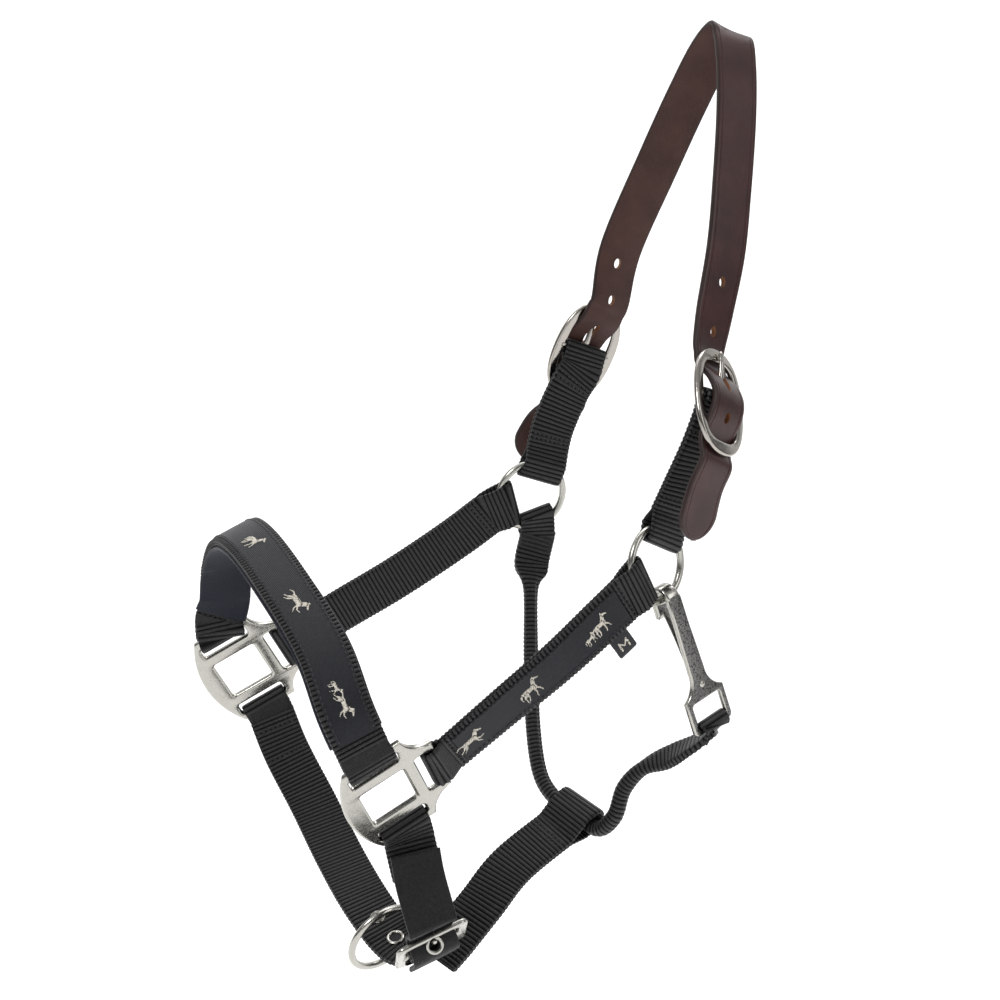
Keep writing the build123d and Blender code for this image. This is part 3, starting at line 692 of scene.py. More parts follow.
def thread(vertices, faces, a, b, out, width, height):
    """One stitch from a to b, a flat bead that dips at both ends."""
    along = b - a
    side = along.cross(out).normalized()
    base = len(vertices)
    for t, grow, lift in ((0, 0.35, -0.3), (0.22, 0.95, 0.75), (0.5, 1, 1), (0.78, 0.95, 0.75),
                          (1, 0.35, -0.3)):
        middle = a + along * t
        vertices.append(middle + side * width * grow / 2)
        vertices.append(middle + side * width * grow / 4 + out * height * lift)
        vertices.append(middle - side * width * grow / 4 + out * height * lift)
        vertices.append(middle - side * width * grow / 2)
    for k in range(4):
        for m in range(3):
            p = base + 4 * k + m
            faces.append((p, p + 1, p + 5, p + 4))
        p = base + 4 * k
        faces.append((p + 3, p, p + 4, p + 7))
    faces.append((base + 3, base + 2, base + 1, base))
    faces.append((base + 16, base + 17, base + 18, base + 19))


def row_at(rows, far):
    for row in rows:
        if row[3] >= far:
            return row
    return rows[-1]


def gathered(shapes):
    """Many (vertices, faces) as one."""
    vertices, faces = [], []
    for more, more_faces in shapes:
        base = len(vertices)
        vertices += more
        faces += [tuple(base + k for k in face) for face in more_faces]
    return vertices, faces


def seam_lines(rows, offsets, start, stop, lift, length, gap):
    """Stitches along a strap, at each offset across it."""
    vertices, faces = [], []
    for offset in offsets:
        far = start
        while far + length < stop:
            a = row_at(rows, far)
            b = row_at(rows, far + length)
            thread(vertices, faces, a[0] + a[1] * offset + a[2] * lift,
                   b[0] + b[1] * offset + b[2] * lift, a[2], 0.7, 0.35)
            far += length + gap
    return vertices, faces


def bar_lines(rows, places, half, lift, length, gap):
    """Stitches across a strap, at each distance along it, on the side that lift is on."""
    vertices, faces = [], []
    for far in places:
        point, side, out, _ = row_at(rows, far)
        u = -half
        while u + length < half:
            thread(vertices, faces, point + side * u + out * lift,
                   point + side * (u + length) + out * lift, out * (1 if lift > 0 else -1), 0.8, 0.4)
            u += length + gap
    return vertices, faces


def stitched(name, shapes, material=None, slot="webbing", body="straps"):
    vertices, faces = gathered(shapes)
    uv = [(v.x / 10, v.z / 10) for v in vertices]
    return piece(name, vertices, faces, material or THREAD, slot, body, uv=uv)


def ribbon_seams(name, stations, skip):
    rows = cut_rows(stations, (0, 0), 0.5)
    total = rows[-1][3]
    stitched(name, [seam_lines(rows, (-9.5, 9.5), skip[0], total - skip[1], 2.66, 2.1, 0.9)],
             slot="ribbon")


ribbon_seams("cheek_near_seams", NEAR_CHEEK, (10, 10))
ribbon_seams("cheek_far_seams", FAR_CHEEK, (10, 10))
ribbon_seams("nose_band_seams", NOSE, (14, 12))


def end_seams(name, stations, near_end, far_end):
    """Two rows of stitches across a strap next to each fold, on both faces."""
    rows = cut_rows(stations, (0, 0), 0.5)
    total = rows[-1][3]
    places = list(near_end) + [total - d for d in far_end]
    stitched(name, [bar_lines(rows, places, 12.2, lift, 2.3, 0.7) for lift in (2.1, -1.95)])


for name, stations, near_end, far_end in (
    ("tab_near", NEAR_TAB, (10, 13), (16, 19)),
    ("tab_far", FAR_TAB, (10, 13), (17, 20)),
    ("cheek_near", NEAR_CHEEK, (6, 7.5), (6, 7.5)),
    ("cheek_far", FAR_CHEEK, (7, 10), (7, 10)),
    ("nose", NOSE, (8, 10), (7, 9)),
    ("chin_near", NEAR_CHIN, (9, 12, 26), ()),
    ("chin_far", FAR_CHIN, (9, 12, 30), (18, 21)),
    ("rear", REAR, (5, 8), (13, 16)),
):
    end_seams(name + "_end_seams", stations, near_end, far_end)


# Leather crown

CROWN_HALF = 12.5
CROWN_ROUND = 14.0
# Materials round the crown's section: 0 grain, 1 flesh, 2 edge
CROWN_FACES = [2] * 4 + [1] * 2 + [2] * 5 + [0] * 12 + [2]


def crown_piece():
    """The crown: grain away from the horse, with a crease near each edge; flesh toward it."""
    points = smooth([Vector(row[0]) for row in CROWN], 24)
    sides = smooth([Vector(row[1]).normalized() for row in CROWN], 24)
    rows = framed(*even(points, sides, 1.0))
    total = rows[-1][3]

    def section(i, far):
        near_end = min(far, total - far)
        grow = 1.0
        if near_end < CROWN_ROUND:
            grow = max(0.06, (1 - (1 - near_end / CROWN_ROUND) ** 2) ** 0.6)
        half = CROWN_HALF * grow
        soft = min(1.0, near_end / 2 + 0.4)
        crease = 0.30 if grow > 0.6 else 0.0
        t = 1.6 * soft
        profile = [(half - 0.9, t - 0.05), (half - 1.8, t), (half - 2.5, t), (half - 2.9, t - crease),
                   (half - 3.3, t), (half * 0.5, t + 0.05), (0, t + 0.07)]
        top = profile + [(-u, v) for u, v in profile[-2::-1]]
        left = [(-half + 0.25, t - 0.4), (-half, 0.35), (-half, -0.5), (-half + 0.3, -t + 0.35)]
        low = [(-half + 0.9, -t), (0, -t), (half - 0.9, -t)]
        right = [(half - 0.3, -t + 0.35), (half, -0.5), (half, 0.35), (half - 0.25, t - 0.4)]
        return [(u, -v) for u, v in reversed(top + left + low + right)]
    vertices, faces, uv = sweep(rows, section)
    made = piece("crown_leather", vertices, faces, GRAIN, "leather", uv=uv)
    for more in (FLESH, EDGE, TAN):
        made.data.materials.append(more)
    for k, polygon in enumerate(made.data.polygons):
        if len(polygon.vertices) == 4:
            polygon.material_index = CROWN_FACES[k % len(CROWN_FACES)]
    return made


def oval_rod(place, long, wide, depth, count=28):
    """A closed oval pin, used to cut a hole; its long way is along y."""
    top, low = [], []
    for k in range(count):
        a = 2 * pi * k / count
        u = wide / 2 * cos(a)
        v = long / 2 * sin(a)
        top.append(place.at(u, v, depth))
        low.append(place.at(u, v, -depth))
    faces = [tuple(range(count)), tuple(range(count, 2 * count))[::-1]]
    faces += [(k, k + count, (k + 1) % count + count, (k + 1) % count) for k in range(count)]
    return top + low, faces


def cut(target, shapes, material):
    """Cuts closed shapes out of a piece; the walls of the cut take the given material."""
    vertices, faces = gathered(shapes)
    mesh = bpy.data.meshes.new("cutter")
    mesh.from_pydata([v * MM for v in vertices], [], faces)
    mesh.materials.append(material)
    tool = bpy.data.objects.new("cutter", mesh)
    bpy.context.scene.collection.objects.link(tool)
    modifier = target.modifiers.new("cut", "BOOLEAN")
    modifier.operation = "DIFFERENCE"
    modifier.solver = "EXACT"
    modifier.material_mode = "TRANSFER"
    modifier.object = tool
    bpy.context.view_layer.update()
    graph = bpy.context.evaluated_depsgraph_get()
    result = bpy.data.meshes.new_from_object(target.evaluated_get(graph))
    target.modifiers.remove(modifier)
    result.set_sharp_from_angle(angle=radians(35))
    target.data = result
    bpy.data.objects.remove(tool)


crown = crown_piece()
crown_planes = lane(CROWN, 4)
hole_shapes = []
for spot in (20, 42, 46, 81, 84, 106):
    p, side, out, _ = crown_planes[spot]
    hole_shapes.append(oval_rod(Place(p, side, out), 6, 4, 4))
for buckle in (NEAR_BUCKLE, FAR_BUCKLE):
    hole_shapes.append(oval_rod(Place(buckle.at(0, 11), buckle.x, buckle.z), 14, 4.6, 9))
cut(crown, hole_shapes, TAN)
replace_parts(crown, "crown_strap")


# Throat strap: rolled to a round cord, flat and folded at both ends

def throat_rows():
    rows = lane([row[:2] for row in THROAT], 40)
    halves = smooth([Vector((row[2], row[3], 0)) for row in THROAT], 40)
    return rows, halves


def throat_piece():
    rows, halves = throat_rows()
    points, sides = even([r[0] for r in rows], [r[1] for r in rows], STEP)
    _, sizes = even([r[0] for r in rows], halves, STEP)
    fine = framed(points, sides)

    def section(i, far):
        wide = sizes[i].x - 0.25
        thick = sizes[i].y - 0.05
        flat = max(0.0, min(1.0, (wide / thick - 1.2) / 2))
        power = 1 - 0.72 * flat
        crest = 0.5 * rib(far) - 0.3
        ring = []
        for k in range(32):
            a = 2 * pi * k / 32
            c, d = cos(a), sin(a)
            u = (abs(c) ** power) * (1 if c > 0 else -1) * (wide + crest * 0.6)
            v = (abs(d) ** power) * (1 if d > 0 else -1) * (thick + crest)
            seam = 1 - 0.16 * (1 - flat) * max(0.0, cos(a - 0.9)) ** 24
            ring.append((u * seam, v * seam))
        return ring
    vertices, faces, uv = sweep(fine, section)
    made = piece("throat_roll", vertices, faces, WEB, "webbing", uv=uv)
    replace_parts(made, "throat_strap")


def throat_end(name, fold, turned, reach, clear, half):
    """The folded end of the throat strap, round the ring or the snap's bar."""
    rows, _ = throat_rows()
    if turned:
        rows = [(p, x, -n, rows[-1][3] - far) for p, x, n, far in rows[::-1]]
    kept = [r for r in rows if fold[0].into(r[0]).length > clear and r[3] < reach]
    outer = [p + n * PLY for p, _, n, _ in kept][::-1]
    inner = [p - n * PLY for p, _, n, _ in kept]
    across = [x for _, x, _, _ in kept]
    points, sides = round_fold(fold, outer[-1], inner[0], across[0], across[0])
    points = outer[:-1] + points + inner[1:]
    sides = across[:0:-1] + sides + across[1:]
    points, sides = even(points, sides, STEP)
    vertices, faces, uv = sweep(framed(points, sides), web_section(half))
    piece(name, vertices, faces, WEB, "webbing", uv=uv)


throat_piece()
throat_end("throat_ring_end", THROAT_FOLD, False, 14, 9.5, 10.2)
throat_end("throat_snap_end", (SNAP_BAR.fold(0, -90), BAR_HOLE, RING_HEIGHT), True, 8, 7.0, 9.4)


# Chin strap: smooth single webbing with a hole for the tongue

def chin_piece():
    rows = cut_rows(CHIN_STRAP, (0, 0), STEP)
    total = rows[-1][3]

    def section(i, far):
        crest = 0.14 * abs(sin(pi * far / 1.25))
        end = min(1.0, 0.45 + min(far, total - far) / 2)
        edge = 13.2 + crest
        top = (1.15 + crest) * end
        ring = [(edge * k / 6, top) for k in range(6, -7, -1)]
        ring[0] = (edge * 0.98, top * 0.85)
        ring[-1] = (-edge * 0.98, top * 0.85)
        ring += [(-edge, 0), (-edge * 0.98, -top * 0.85)]
        ring += [(edge * k / 6, -top) for k in range(-5, 6)]
        return ring + [(edge * 0.98, -top * 0.85), (edge, 0)]
    vertices, faces, uv = sweep(rows, section)
    made = piece("chin_tail_webbing", vertices, faces, PLAIN, "webbing", uv=uv)
    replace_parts(made, "chin_strap")
    return made


chin_tail = chin_piece()
bend = lane(run(CHIN_BUCKLE, CHIN_BUCKLE.x, CHIN_THROUGH), 4)[15]
far_chin = lane(FAR_CHIN, 4)
tongue_eye = Place(bend[0], bend[1], bend[2])
cut(chin_tail, [oval_rod(tongue_eye, 6.4, 6.4, 3)], THREAD)


# Metal fittings

def hoop_faces(around, section):
    faces = []
    for i in range(around):
        j = (i + 1) % around
        for k in range(section):
            m = (k + 1) % section
            faces.append((i * section + k, j * section + k, j * section + m, i * section + m))
    return faces


def turned(name, centre, a, b, radius, wire, material, slot, body, swell=0.0):
    """A round ring of round wire; swell is the height of its weld."""
    vertices = []
    around, section = 120, 20
    axis = a.cross(b)
    for i in range(around):
        t = 2 * pi * i / around
        out = a * cos(t) + b * sin(t)
        weld = swell * max(0.0, cos(t - 0.6)) ** 160
        for k in range(section):
            s = 2 * pi * k / section
            vertices.append(centre + out * (radius + (wire + weld) * cos(s))
                            + axis * (wire + weld) * sin(s))
    return piece(name, vertices, hoop_faces(around, section), material, slot, body)


for name, node, place, body in (
    ("near_cheek_ring", "cheek_ring_near", NEAR_RING, "near_ring"),
    ("far_cheek_ring", "cheek_ring_far", FAR_RING, "far_ring"),
    ("lead_ring_hoop", "chin_ring", CHIN_RING, "lead_ring"),
):
    hoop = turned(name, place.o, place.x, place.y, 20, 2, NICKEL, "ring_metal", body, swell=0.12)
    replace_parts(hoop, node)


def arc(a, middle, b, count=10):
    """Points of the circle through a, middle and b, both ends kept."""
    (ax, ay), (bx, by), (cx, cy) = a, middle, b
    d = 2 * (ax * (by - cy) + bx * (cy - ay) + cx * (ay - by))
    ux = ((ax * ax + ay * ay) * (by - cy) + (bx * bx + by * by) * (cy - ay)
          + (cx * cx + cy * cy) * (ay - by)) / d
    uy = ((ax * ax + ay * ay) * (cx - bx) + (bx * bx + by * by) * (ax - cx)
          + (cx * cx + cy * cy) * (bx - ax)) / d
    start = atan2(ay - uy, ax - ux)
    mid = atan2(by - uy, bx - ux)
    end = atan2(cy - uy, cx - ux)
    radius = sqrt((ax - ux) ** 2 + (ay - uy) ** 2)
    turn = (end - start) % (2 * pi)
    if (mid - start) % (2 * pi) > turn:
        turn -= 2 * pi
    return [(ux + radius * cos(start + turn * k / count), uy + radius * sin(start + turn * k / count))
            for k in range(count + 1)]


def rounded(wide, high, radius, cx=0.0, cy=0.0, count=6):
    loop = []
    for sx, sy, first in ((1, 1, 0), (-1, 1, 1), (-1, -1, 2), (1, -1, 3)):
        for k in range(count + 1):
            a = pi / 2 * (first + k / count)
            loop.append((cx + sx * (wide / 2 - radius) + radius * cos(a),
                         cy + sy * (high / 2 - radius) + radius * sin(a)))
    return loop


def oval(wide, high, power, count=72):
    loop = []
    for k in range(count):
        a = 2 * pi * k / count
        c, d = cos(a), sin(a)
        loop.append((wide / 2 * abs(c) ** (2 / power) * (1 if c > 0 else -1),
                     high / 2 * abs(d) ** (2 / power) * (1 if d > 0 else -1)))
    return loop


def area(loop):
    return sum(a[0] * b[1] - b[0] * a[1] for a, b in zip(loop, loop[1:] + loop[:1])) / 2


def rim(loop, outward):
    """The loop with near-equal points dropped, and each point's direction out of the metal."""
    tidy = []
    for p in loop:
        if not tidy or (p[0] - tidy[-1][0]) ** 2 + (p[1] - tidy[-1][1]) ** 2 > 0.0025:
            tidy.append(p)
    if (tidy[0][0] - tidy[-1][0]) ** 2 + (tidy[0][1] - tidy[-1][1]) ** 2 < 0.0025:
        tidy.pop()
    if (area(tidy) > 0) != outward:
        tidy.reverse()
    normals = []
    for i, p in enumerate(tidy):
        a, b = tidy[i - 1], tidy[(i + 1) % len(tidy)]
        v = Vector((p[0] - a[0], p[1] - a[1])).normalized()
        w = Vector((b[0] - p[0], b[1] - p[1])).normalized()
        n = Vector((v.y + w.y, -v.x - w.x))
        normals.append(n.normalized() / max(0.5, sqrt((1 + v.dot(w)) / 2)))
    return tidy, normals


def plate(place, outer, holes, thick, soft):
    """Flat metal with rounded edges."""
    rims = [rim(outer, True)] + [rim(hole, False) for hole in holes]
    vertices, faces = [], []
    steps = [(k / 4, 1) for k in range(5)] + [(1 - k / 4, -1) for k in range(5)]
    caps = {1: [], -1: []}
    for loop, normals in rims:
        base = len(vertices)
        count = len(loop)
        for t, sign in steps:
            a = pi / 2 * t
            inset = soft * (1 - sin(a))
            depth = thick / 2 - soft * (1 - cos(a))
            for (x, y), n in zip(loop, normals):
                u, v = x - n.x * inset, y - n.y * inset
                vertices.append(place.at(u, v, sign * depth))
        for s in range(len(steps) - 1):
            for k in range(count):
                m = (k + 1) % count
                a, b = base + s * count, base + (s + 1) * count
                faces.append((a + k, b + k, b + m, a + m))
        caps[1].append((base, count))
        caps[-1].append((base + (len(steps) - 1) * count, count))
    for sign, loops in caps.items():
        flat = [[Vector((*(place.into(vertices[b + k]).xy), 0)) for k in range(n)] for b, n in loops]
        ids = [b + k for b, n in loops for k in range(n)]
        for tri in tessellate_polygon(flat):
            face = tuple(ids[k] for k in tri)
            p, q, r = (place.into(vertices[k]) for k in face)
            up = (q.x - p.x) * (r.y - p.y) - (q.y - p.y) * (r.x - p.x)
            faces.append(face if (up > 0) == (sign > 0) else face[::-1])
    return vertices, faces


def rod(points, sides, sizes, count=18):
    """A rod along points, its section an oval of the given half sizes, closed at both ends."""
    rows = framed(points, sides)

    def section(i, far):
        wide, thick = sizes(far, rows[-1][3])
        return [(wide * cos(2 * pi * k / count), thick * sin(2 * pi * k / count))
                for k in range(count)]
    vertices, faces, _ = sweep(rows, section)
    return vertices, faces


def bar(place, half, radius, y=0.0, z=0.0):
    points = [place.at(-half + half * k / 8, y, z) for k in range(17)]
    return rod(points, [place.y] * 17, lambda far, total: (radius, radius))


def joined(name, shapes, material, slot, body, sharp=45):
    vertices, faces = gathered(shapes)
    return piece(name, vertices, faces, material, slot, body, sharp=sharp)


def square_loops():
    outer = [(-15, 32), (18, 32)] + arc((18, 32), (21.5, 24), (32, 18))[1:]
    outer += [(32, -18)] + arc((32, -18), (21.5, -24), (18, -32))[1:]
    outer += [(-15, -32)] + arc((-15, -32), (-24, 0), (-15, 32), 30)[1:-1]
    holes = [rounded(26, 26, 1.8)]
    holes += [rounded(28.4, 7, 1.8, 0, y) for y in (-23.5, 23.5)]
    holes.append(rounded(7, 28.4, 1.8, 23.5, 0))
    return outer, holes


for name, node, place in (("near_square_cast", "square_near", NEAR_SQUARE),
                          ("far_square_cast", "square_far", FAR_SQUARE)):
    outer, holes = square_loops()
    fitting = joined(name, [plate(place, outer, holes, 4, 1.5)], NICKEL, "cast_metal", "straps", 60)
    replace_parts(fitting, node)


TONGUE_WRAP = 3.1
TONGUE_ROOT = (3.4, 0.6)


def tongue_shape(place, tip, rest, shaft):
    """A tongue: a strip bent round the bar that tapers to a rounded tip on the frame."""
    turns = [radians(215 - 205 * k / 18) for k in range(19)]
    wrap = [place.at(0, TONGUE_WRAP * cos(a), TONGUE_WRAP * sin(a)) for a in turns]
    line = [place.at(0, TONGUE_ROOT[0] + (tip - TONGUE_ROOT[0]) * k / 14,
                     TONGUE_ROOT[1] + (rest - TONGUE_ROOT[1]) * min(1.0, k / 9))
            for k in range(1, 15)]
    path = relax(wrap + line, 3)

    def sizes(far, total):
        t = far / total
        end = min(1.0, 0.35 + (total - far) / 1.8)
        return shaft * (1.25 - 0.3 * t) * end, shaft * (0.62 + 0.25 * t) * end
    return rod(path, [place.x] * len(path), sizes)


def oval_frame(place):
    shapes = [plate(place, oval(40, 60, 2.3), [oval(27.8, 45, 3.4)], 3, 1.25)]
    shapes.append(bar(place, 16, 2))
    return shapes


for side, place in (("near", NEAR_BUCKLE), ("far", FAR_BUCKLE)):
    made = joined(side + "_crown_frame", oval_frame(place), PEWTER, "buckle_metal", "straps", 60)
    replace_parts(made, "crown_buckle_frame_" + side)
    made = joined(side + "_crown_prong", [tongue_shape(place, 28, 3.3, 1.6)], PEWTER,
                  "buckle_metal", side + "_tongue")
    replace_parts(made, "crown_tongue_" + side)


def chin_frame():
    outer = arc((16.5, 15), (19.3, 13.8), (20.5, 11), 5) + [(20.5, -10)]
    outer += arc((20.5, -10), (0, -17), (-20.5, -10), 26)[1:]
    outer += [(-20.5, 11)] + arc((-20.5, 11), (-19.3, 13.8), (-16.5, 15), 5)[1:]
    shapes = [plate(CHIN_BUCKLE, outer, [rounded(29, 23.4, 3.4)], 3, 1.2)]
    shapes.append(bar(CHIN_BUCKLE, 17, 2))
    return shapes


made = joined("chin_frame_cast", chin_frame(), NICKEL, "buckle_metal", "straps", 60)
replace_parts(made, "chin_buckle_frame")
made = joined("chin_prong_bent", [tongue_shape(CHIN_BUCKLE, 14, 2.9, 1.3)], NICKEL,
              "buckle_metal", "chin_prong")
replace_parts(made, "chin_tongue")


def eyelet(place, radius=4.0, wire=0.9):
    """A pressed eyelet: a flattened bead round its hole."""
    vertices = []
    around, section = 40, 10
    for i in range(around):
        t = 2 * pi * i / around
        for k in range(section):
            s = 2 * pi * k / section
            r = radius + wire * cos(s)
            vertices.append(place.at(r * cos(t), r * sin(t), 0.55 * sin(s)))
    return vertices, hoop_faces(around, section)


def dome(place, radius, high):
    """A rivet cap: a low dome with a flat rim."""
    vertices, faces = [], []
    around = 32
    profile = [(1.0, 0.0), (1.0, 0.25), (0.93, 0.45), (0.72, 0.72), (0.45, 0.92), (0.2, 0.99)]
    for r, z in profile:
        for i in range(around):
            t = 2 * pi * i / around
            vertices.append(place.at(radius * r * cos(t), radius * r * sin(t), high * z))
    vertices.append(place.at(0, 0, high))
    for s in range(len(profile) - 1):
        for i in range(around):
            j = (i + 1) % around
            a, b = s * around, (s + 1) * around
            faces.append((a + i, a + j, b + j, b + i))
    top = (len(profile) - 1) * around
    faces += [(top + i, top + (i + 1) % around, len(vertices) - 1) for i in range(around)]
    faces.append(tuple(range(around))[::-1])
    return vertices, faces


def on_strap(row, rise):
    point, side, out, _ = row
    return Place(point + out * rise, side, out)


eyes = [eyelet(on_strap(bend, 1.75)), eyelet(on_strap(bend, -1.75)),
        eyelet(on_strap(far_chin[21], 2.35)), dome(on_strap(far_chin[18], 2.05), 4.2, 1.5)]
made = joined("chin_eyelet_set", eyes, NICKEL, "buckle_metal", "straps", 60)
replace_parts(made, "chin_eyelets")
# a flat dark disc of thread material fills the far eyelet's opening: painted shade for the inside of its
# hole, which is not cut
stitched("far_eyelet_hole_shade", [dome(on_strap(far_chin[21], 2.0), 3.2, 0.25)])


# Snap

SNAP_SIDE = Place(SNAP.o, SNAP.z, -SNAP.x)
HOOK_IN, HOOK_OUT = 4.4, 7.8


def snap_shapes():
    hook = [(HOOK_OUT, -50), (HOOK_OUT, 0)] + arc((HOOK_OUT, 0), (-0.4, HOOK_OUT), (-8.4, 0), 24)[1:]
    hook += [(-8.8, -11.5), (-6.6, -12), (-HOOK_IN, -9)]
    hook += arc((-HOOK_IN, 0), (0, HOOK_IN), (HOOK_IN, 0), 24) + [(HOOK_IN, -50)]
    flat = Place(SNAP.at(0, 0, (HOOK_IN + HOOK_OUT) / 2 + 0.1), SNAP.x, SNAP.z)
    eye = [(-4.6, 1), (4.6, 1), (4.6, -14), (5.4, -42)]
    eye += arc((5.4, -42), (7.3, -50.5), (13.8, -56), 12)[1:]
    eye += [(13.8, -74), (12.4, -76), (-12.4, -76), (-13.8, -74)]
    eye += arc((-13.8, -56), (-7.3, -50.5), (-5.4, -42), 12) + [(-4.6, -14)]
    window = rounded(20, 15, 2, 0, -66.0)
    return [plate(SNAP_SIDE, hook, [], 8.8, 1.5), plate(flat, eye, [window], 3.4, 1.2)]


made = joined("snap_cast_body", snap_shapes(), CAST, "cast_metal", "snap", 50)
made.data.materials.append(NICKEL)
for polygon in made.data.polygons:
    if abs(polygon.normal.dot(SNAP.z)) < 0.96:
        polygon.material_index = 1
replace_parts(made, "snap_body")


def leaf_shape():
    points = []
    for k in range(21):
        t = k / 20
        points.append(SNAP_SIDE.at(3.0 - 6.4 * t + 0.9 * sin(pi * t), -46 + 38 * t))
    return rod(points, [SNAP.x] * 21, lambda far, total: (2.9 - 0.5 * far / total, 0.5), 14)


made = joined("snap_leaf_bent", [leaf_shape()], SPRING, "spring_steel", "snap_leaf")
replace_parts(made, "snap_spring")
head = dome(Place(SNAP.at(0, -50, HOOK_OUT + 0.1), SNAP.x, SNAP.z), 1.8, 0.8)
made = joined("snap_rivet_head", [head], NICKEL, "buckle_metal", "snap", 50)
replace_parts(made, "snap_rivet")


# Embroidery: a shape is a list of tapered strokes (x1, y1, r1, x2, y2, r2), filled with thread

GALLOP = [
    (-2.6, 0.0, 1.35, 2.4, 0.2, 1.3), (2.4, 0.7, 1.15, 4.5, 3.0, 0.7), (4.6, 3.1, 0.75, 6.5, 2.2, 0.4),
    (4.3, 3.5, 0.3, 4.6, 4.5, 0.12), (2.4, 2.0, 0.35, 4.0, 3.9, 0.35),
    (2.4, -0.5, 0.65, 4.6, -2.0, 0.33), (4.6, -2.0, 0.3, 6.3, -1.5, 0.22),
    (2.0, -0.7, 0.6, 3.2, -2.9, 0.33), (3.2, -2.9, 0.3, 4.5, -4.0, 0.2),
    (-2.8, -0.3, 0.95, -4.3, -2.1, 0.4), (-4.3, -2.1, 0.35, -6.0, -3.2, 0.2),
    (-2.4, -0.5, 0.85, -2.8, -2.7, 0.4), (-2.8, -2.7, 0.33, -4.6, -4.0, 0.2),
    (-3.7, 0.7, 0.4, -5.4, 1.2, 0.4), (-5.4, 1.2, 0.4, -7.0, 0.1, 0.18),
]
TROT = [
    (-2.3, 0.1, 1.3, 2.0, 0.3, 1.25), (1.9, 0.9, 1.1, 3.4, 3.9, 0.65), (3.4, 4.0, 0.7, 5.2, 3.2, 0.38),
    (3.0, 4.4, 0.28, 3.2, 5.3, 0.12), (1.9, 2.4, 0.35, 2.9, 4.4, 0.35),
    (2.2, -0.6, 0.6, 3.8, -2.0, 0.33), (3.8, -2.0, 0.3, 4.4, -3.8, 0.2),
    (1.7, -0.7, 0.55, 1.9, -3.0, 0.32), (1.9, -3.0, 0.3, 1.5, -5.0, 0.22),
    (-2.5, -0.5, 0.85, -3.3, -2.6, 0.4), (-3.3, -2.6, 0.33, -3.0, -5.0, 0.22),
    (-2.1, -0.6, 0.75, -1.6, -2.9, 0.36), (-1.6, -2.9, 0.33, -2.2, -4.9, 0.2),
    (-3.5, 0.7, 0.35, -4.6, -0.4, 0.42), (-4.6, -0.4, 0.42, -4.7, -2.6, 0.18),
]


def moved(shape, size, dx, dy):
    return [(a * size + dx, b * size + dy, r * size, c * size + dx, d * size + dy, s * size)
            for a, b, r, c, d, s in shape]


PAIR = moved(TROT, 1.0, 1.8, 0.4) + moved(TROT, 0.62, -5.4, -1.4)
PAIR_GALLOP = moved(GALLOP, 0.9, 2.4, 0.2) + moved(TROT, 0.6, -5.8, -0.9)
LETTER = [(-2.6, -2.6, 0.5, -2.6, 2.6, 0.5), (-2.6, 2.6, 0.5, 0, -0.6, 0.5),
          (0, -0.6, 0.5, 2.6, 2.6, 0.5), (2.6, 2.6, 0.5, 2.6, -2.6, 0.5)]


def inside(shape, x, y):
    for ax, ay, ar, bx, by, br in shape:
        dx, dy = bx - ax, by - ay
        t = max(0.0, min(1.0, ((x - ax) * dx + (y - ay) * dy) / (dx * dx + dy * dy)))
        if (x - ax - dx * t) ** 2 + (y - ay - dy * t) ** 2 < (ar + (br - ar) * t) ** 2:
            return True
    return False


def satin(shape, lay, lean, spacing=0.42, fine=0.16):
    """Threads that fill a shape, side by side, at an angle. lay(x, y) gives point and outward."""
    vertices, faces = [], []
    c, s = cos(lean), sin(lean)
    for line in range(-30, 31):
        w = line * spacing
        begin = None
        for k in range(-75, 76):
            q = k * fine
            x, y = c * q - s * w, s * q + c * w
            now = inside(shape, x, y)
            if now and begin is None:
                begin = q
            if begin is not None and (not now or q - begin > 2.6):
                if q - begin > 0.3:
                    a, out = lay(c * begin - s * w, s * begin + c * w)
                    b, _ = lay(x, y)
                    thread(vertices, faces, a, b, out, spacing * 1.15, 0.34)
                begin = q if now else None
    return vertices, faces


def lay_on(stations, where, lift, along, up, size):
    """Puts a flat drawing on a strap: where is how far along it, as a share of its length."""
    rows = cut_rows(stations, (0, 0), 0.25)
    centre = where * rows[-1][3]

    def lay(x, y):
        point, side, out, _ = row_at(rows, centre + along * x * size)
        return point + side * up * y * size + out * lift, out
    return lay


def horses(name, stations, spots, along, up):
    shapes = []
    for where, shape, size, lean in spots:
        shapes.append(satin(shape, lay_on(stations, where, 2.7, along, up, size), lean))
    stitched(name, shapes, SILVER, "ribbon")


horses("cheek_near_horses", NEAR_CHEEK,
       [(0.12, GALLOP, 1.25, 1.1), (0.43, TROT, 1.35, 1.2), (0.79, PAIR, 1.15, 1.2)], 1, 1)
horses("cheek_far_horses", FAR_CHEEK,
       [(0.2, GALLOP, 1.15, 1.1), (0.5, TROT, 1.25, 1.2), (0.8, PAIR, 1.05, 1.2)], 1, -1)
horses("nose_band_horses", NOSE,
       [(0.12, PAIR_GALLOP, 1.1, 1.1), (0.34, GALLOP, 1.2, 1.1), (0.56, TROT, 1.2, 1.2),
        (0.78, GALLOP, 1.1, 1.1)], -1, -1)


# Size tag

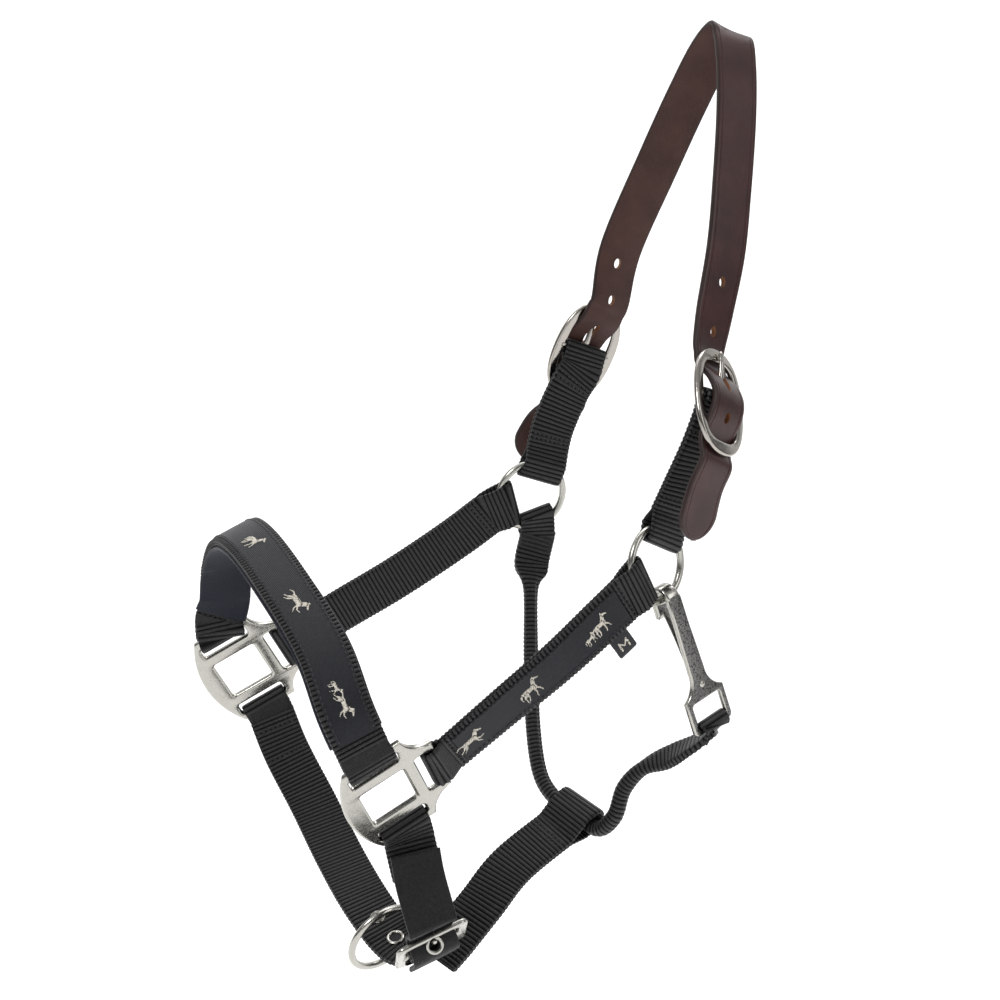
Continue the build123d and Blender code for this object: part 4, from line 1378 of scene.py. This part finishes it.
def tag_piece():
    p, side, out, _ = lane(NEAR_CHEEK, 4)[12]
    ahead = side.cross(out)
    rows = []
    for k in range(15):
        t = k / 14
        point = p - side * (13.0 + 13.8 * t) + out * (0.4 * sin(pi * t) - 0.2 * t)
        rows.append((point, ahead, out, 13.8 * t))

    def section(i, far):
        edge = 6.0 + 0.05 * sin(far * 3)
        if far > 12.9:
            edge -= (far - 12.9) * 0.7
        high = 0.5 if far < 13.5 else 0.25
        return [(edge - 0.2, high), (0, high), (0.2 - edge, high), (-edge, 0),
                (0.2 - edge, -high), (0, -high), (edge - 0.2, -high), (edge, 0)]
    vertices, faces, uv = sweep(rows, section)
    made = piece("size_tag_woven", vertices, faces, TAG, "tag", uv=uv, sharp=60)
    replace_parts(made, "size_tag")

    def lay(x, y):
        return p - side * (20.6 - y * 1.0) + ahead * x * 1.0 + out * 0.72, out
    stitched("size_tag_mark", [satin(LETTER, lay, 1.5, 0.3, 0.1)], SILVER, "tag")


tag_piece()


# Floor and light

def stage_piece(name, vertices, faces, colour, rough):
    mesh = bpy.data.meshes.new(name)
    mesh.from_pydata(vertices, [], faces)
    mesh.shade_smooth()
    material, _, _, bsdf = shader(name, colour, rough)
    bsdf.inputs["Emission Color"].default_value = (1, 1, 1, 1)
    bsdf.inputs["Emission Strength"].default_value = 0.38
    mesh.materials.append(material)
    made = bpy.data.objects.new(name, mesh)
    bpy.context.scene.collection.objects.link(made)


# A floor that curves up into a wall
FLOOR, FLOOR_END, COVE, HALF_FLOOR, WALL_TOP = -0.86, 1.6, 1.4, 9, 6.0
profile = [(-HALF_FLOOR, FLOOR), (FLOOR_END, FLOOR)]
profile += [(FLOOR_END + COVE * sin(pi / 2 * k / 16), FLOOR + COVE - COVE * cos(pi / 2 * k / 16))
            for k in range(1, 17)]
profile += [(FLOOR_END + COVE, WALL_TOP)]
sweep_vertices = [(x, y, z) for y, z in profile for x in (-HALF_FLOOR, HALF_FLOOR)]
sweep_faces = [(2 * k, 2 * k + 1, 2 * k + 3, 2 * k + 2) for k in range(len(profile) - 1)]
stage_piece("studio_floor", sweep_vertices, sweep_faces, (0.90, 0.90, 0.90), 0.9)

world = bpy.data.worlds.new("studio")
bpy.context.scene.world = world
world.use_nodes = True
sky = world.node_tree.nodes
sky["Background"].inputs["Strength"].default_value = 1.0
toward = sky.new("ShaderNodeTexCoord")
split = sky.new("ShaderNodeSeparateXYZ")
world.node_tree.links.new(toward.outputs["Generated"], split.inputs["Vector"])
shade = ramp(sky, world.node_tree.links, split.outputs["Z"], [(0.0, (0.10,) * 3), (0.8, (0.50,) * 3)])
world.node_tree.links.new(shade, sky["Background"].inputs["Color"])


def light(name, place, aim, size, power):
    data = bpy.data.lights.new(name, "AREA")
    data.shape = "RECTANGLE"
    data.size = size[0]
    data.size_y = size[1]
    data.energy = power
    made = bpy.data.objects.new(name, data)
    made.location = place
    made.rotation_euler = (Vector(aim) - Vector(place)).to_track_quat("-Z", "Y").to_euler()
    bpy.context.scene.collection.objects.link(made)


MIDDLE = (-0.13, 0, -0.26)
BACKDROP = (0, 3.0, 0)
light("key", (-1.5, -1.9, 1.3), MIDDLE, (0.9, 0.9), 30)
light("fill", (1.7, -1.3, 0.5), MIDDLE, (0.9, 1.6), 9)
light("top", (0.2, 0.6, 1.8), MIDDLE, (1.6, 1.0), 16)
light("wall", (0, 0.4, 2.6), BACKDROP, (4.0, 1.0), 40)

bpy.context.scene.view_settings.view_transform = "Standard"
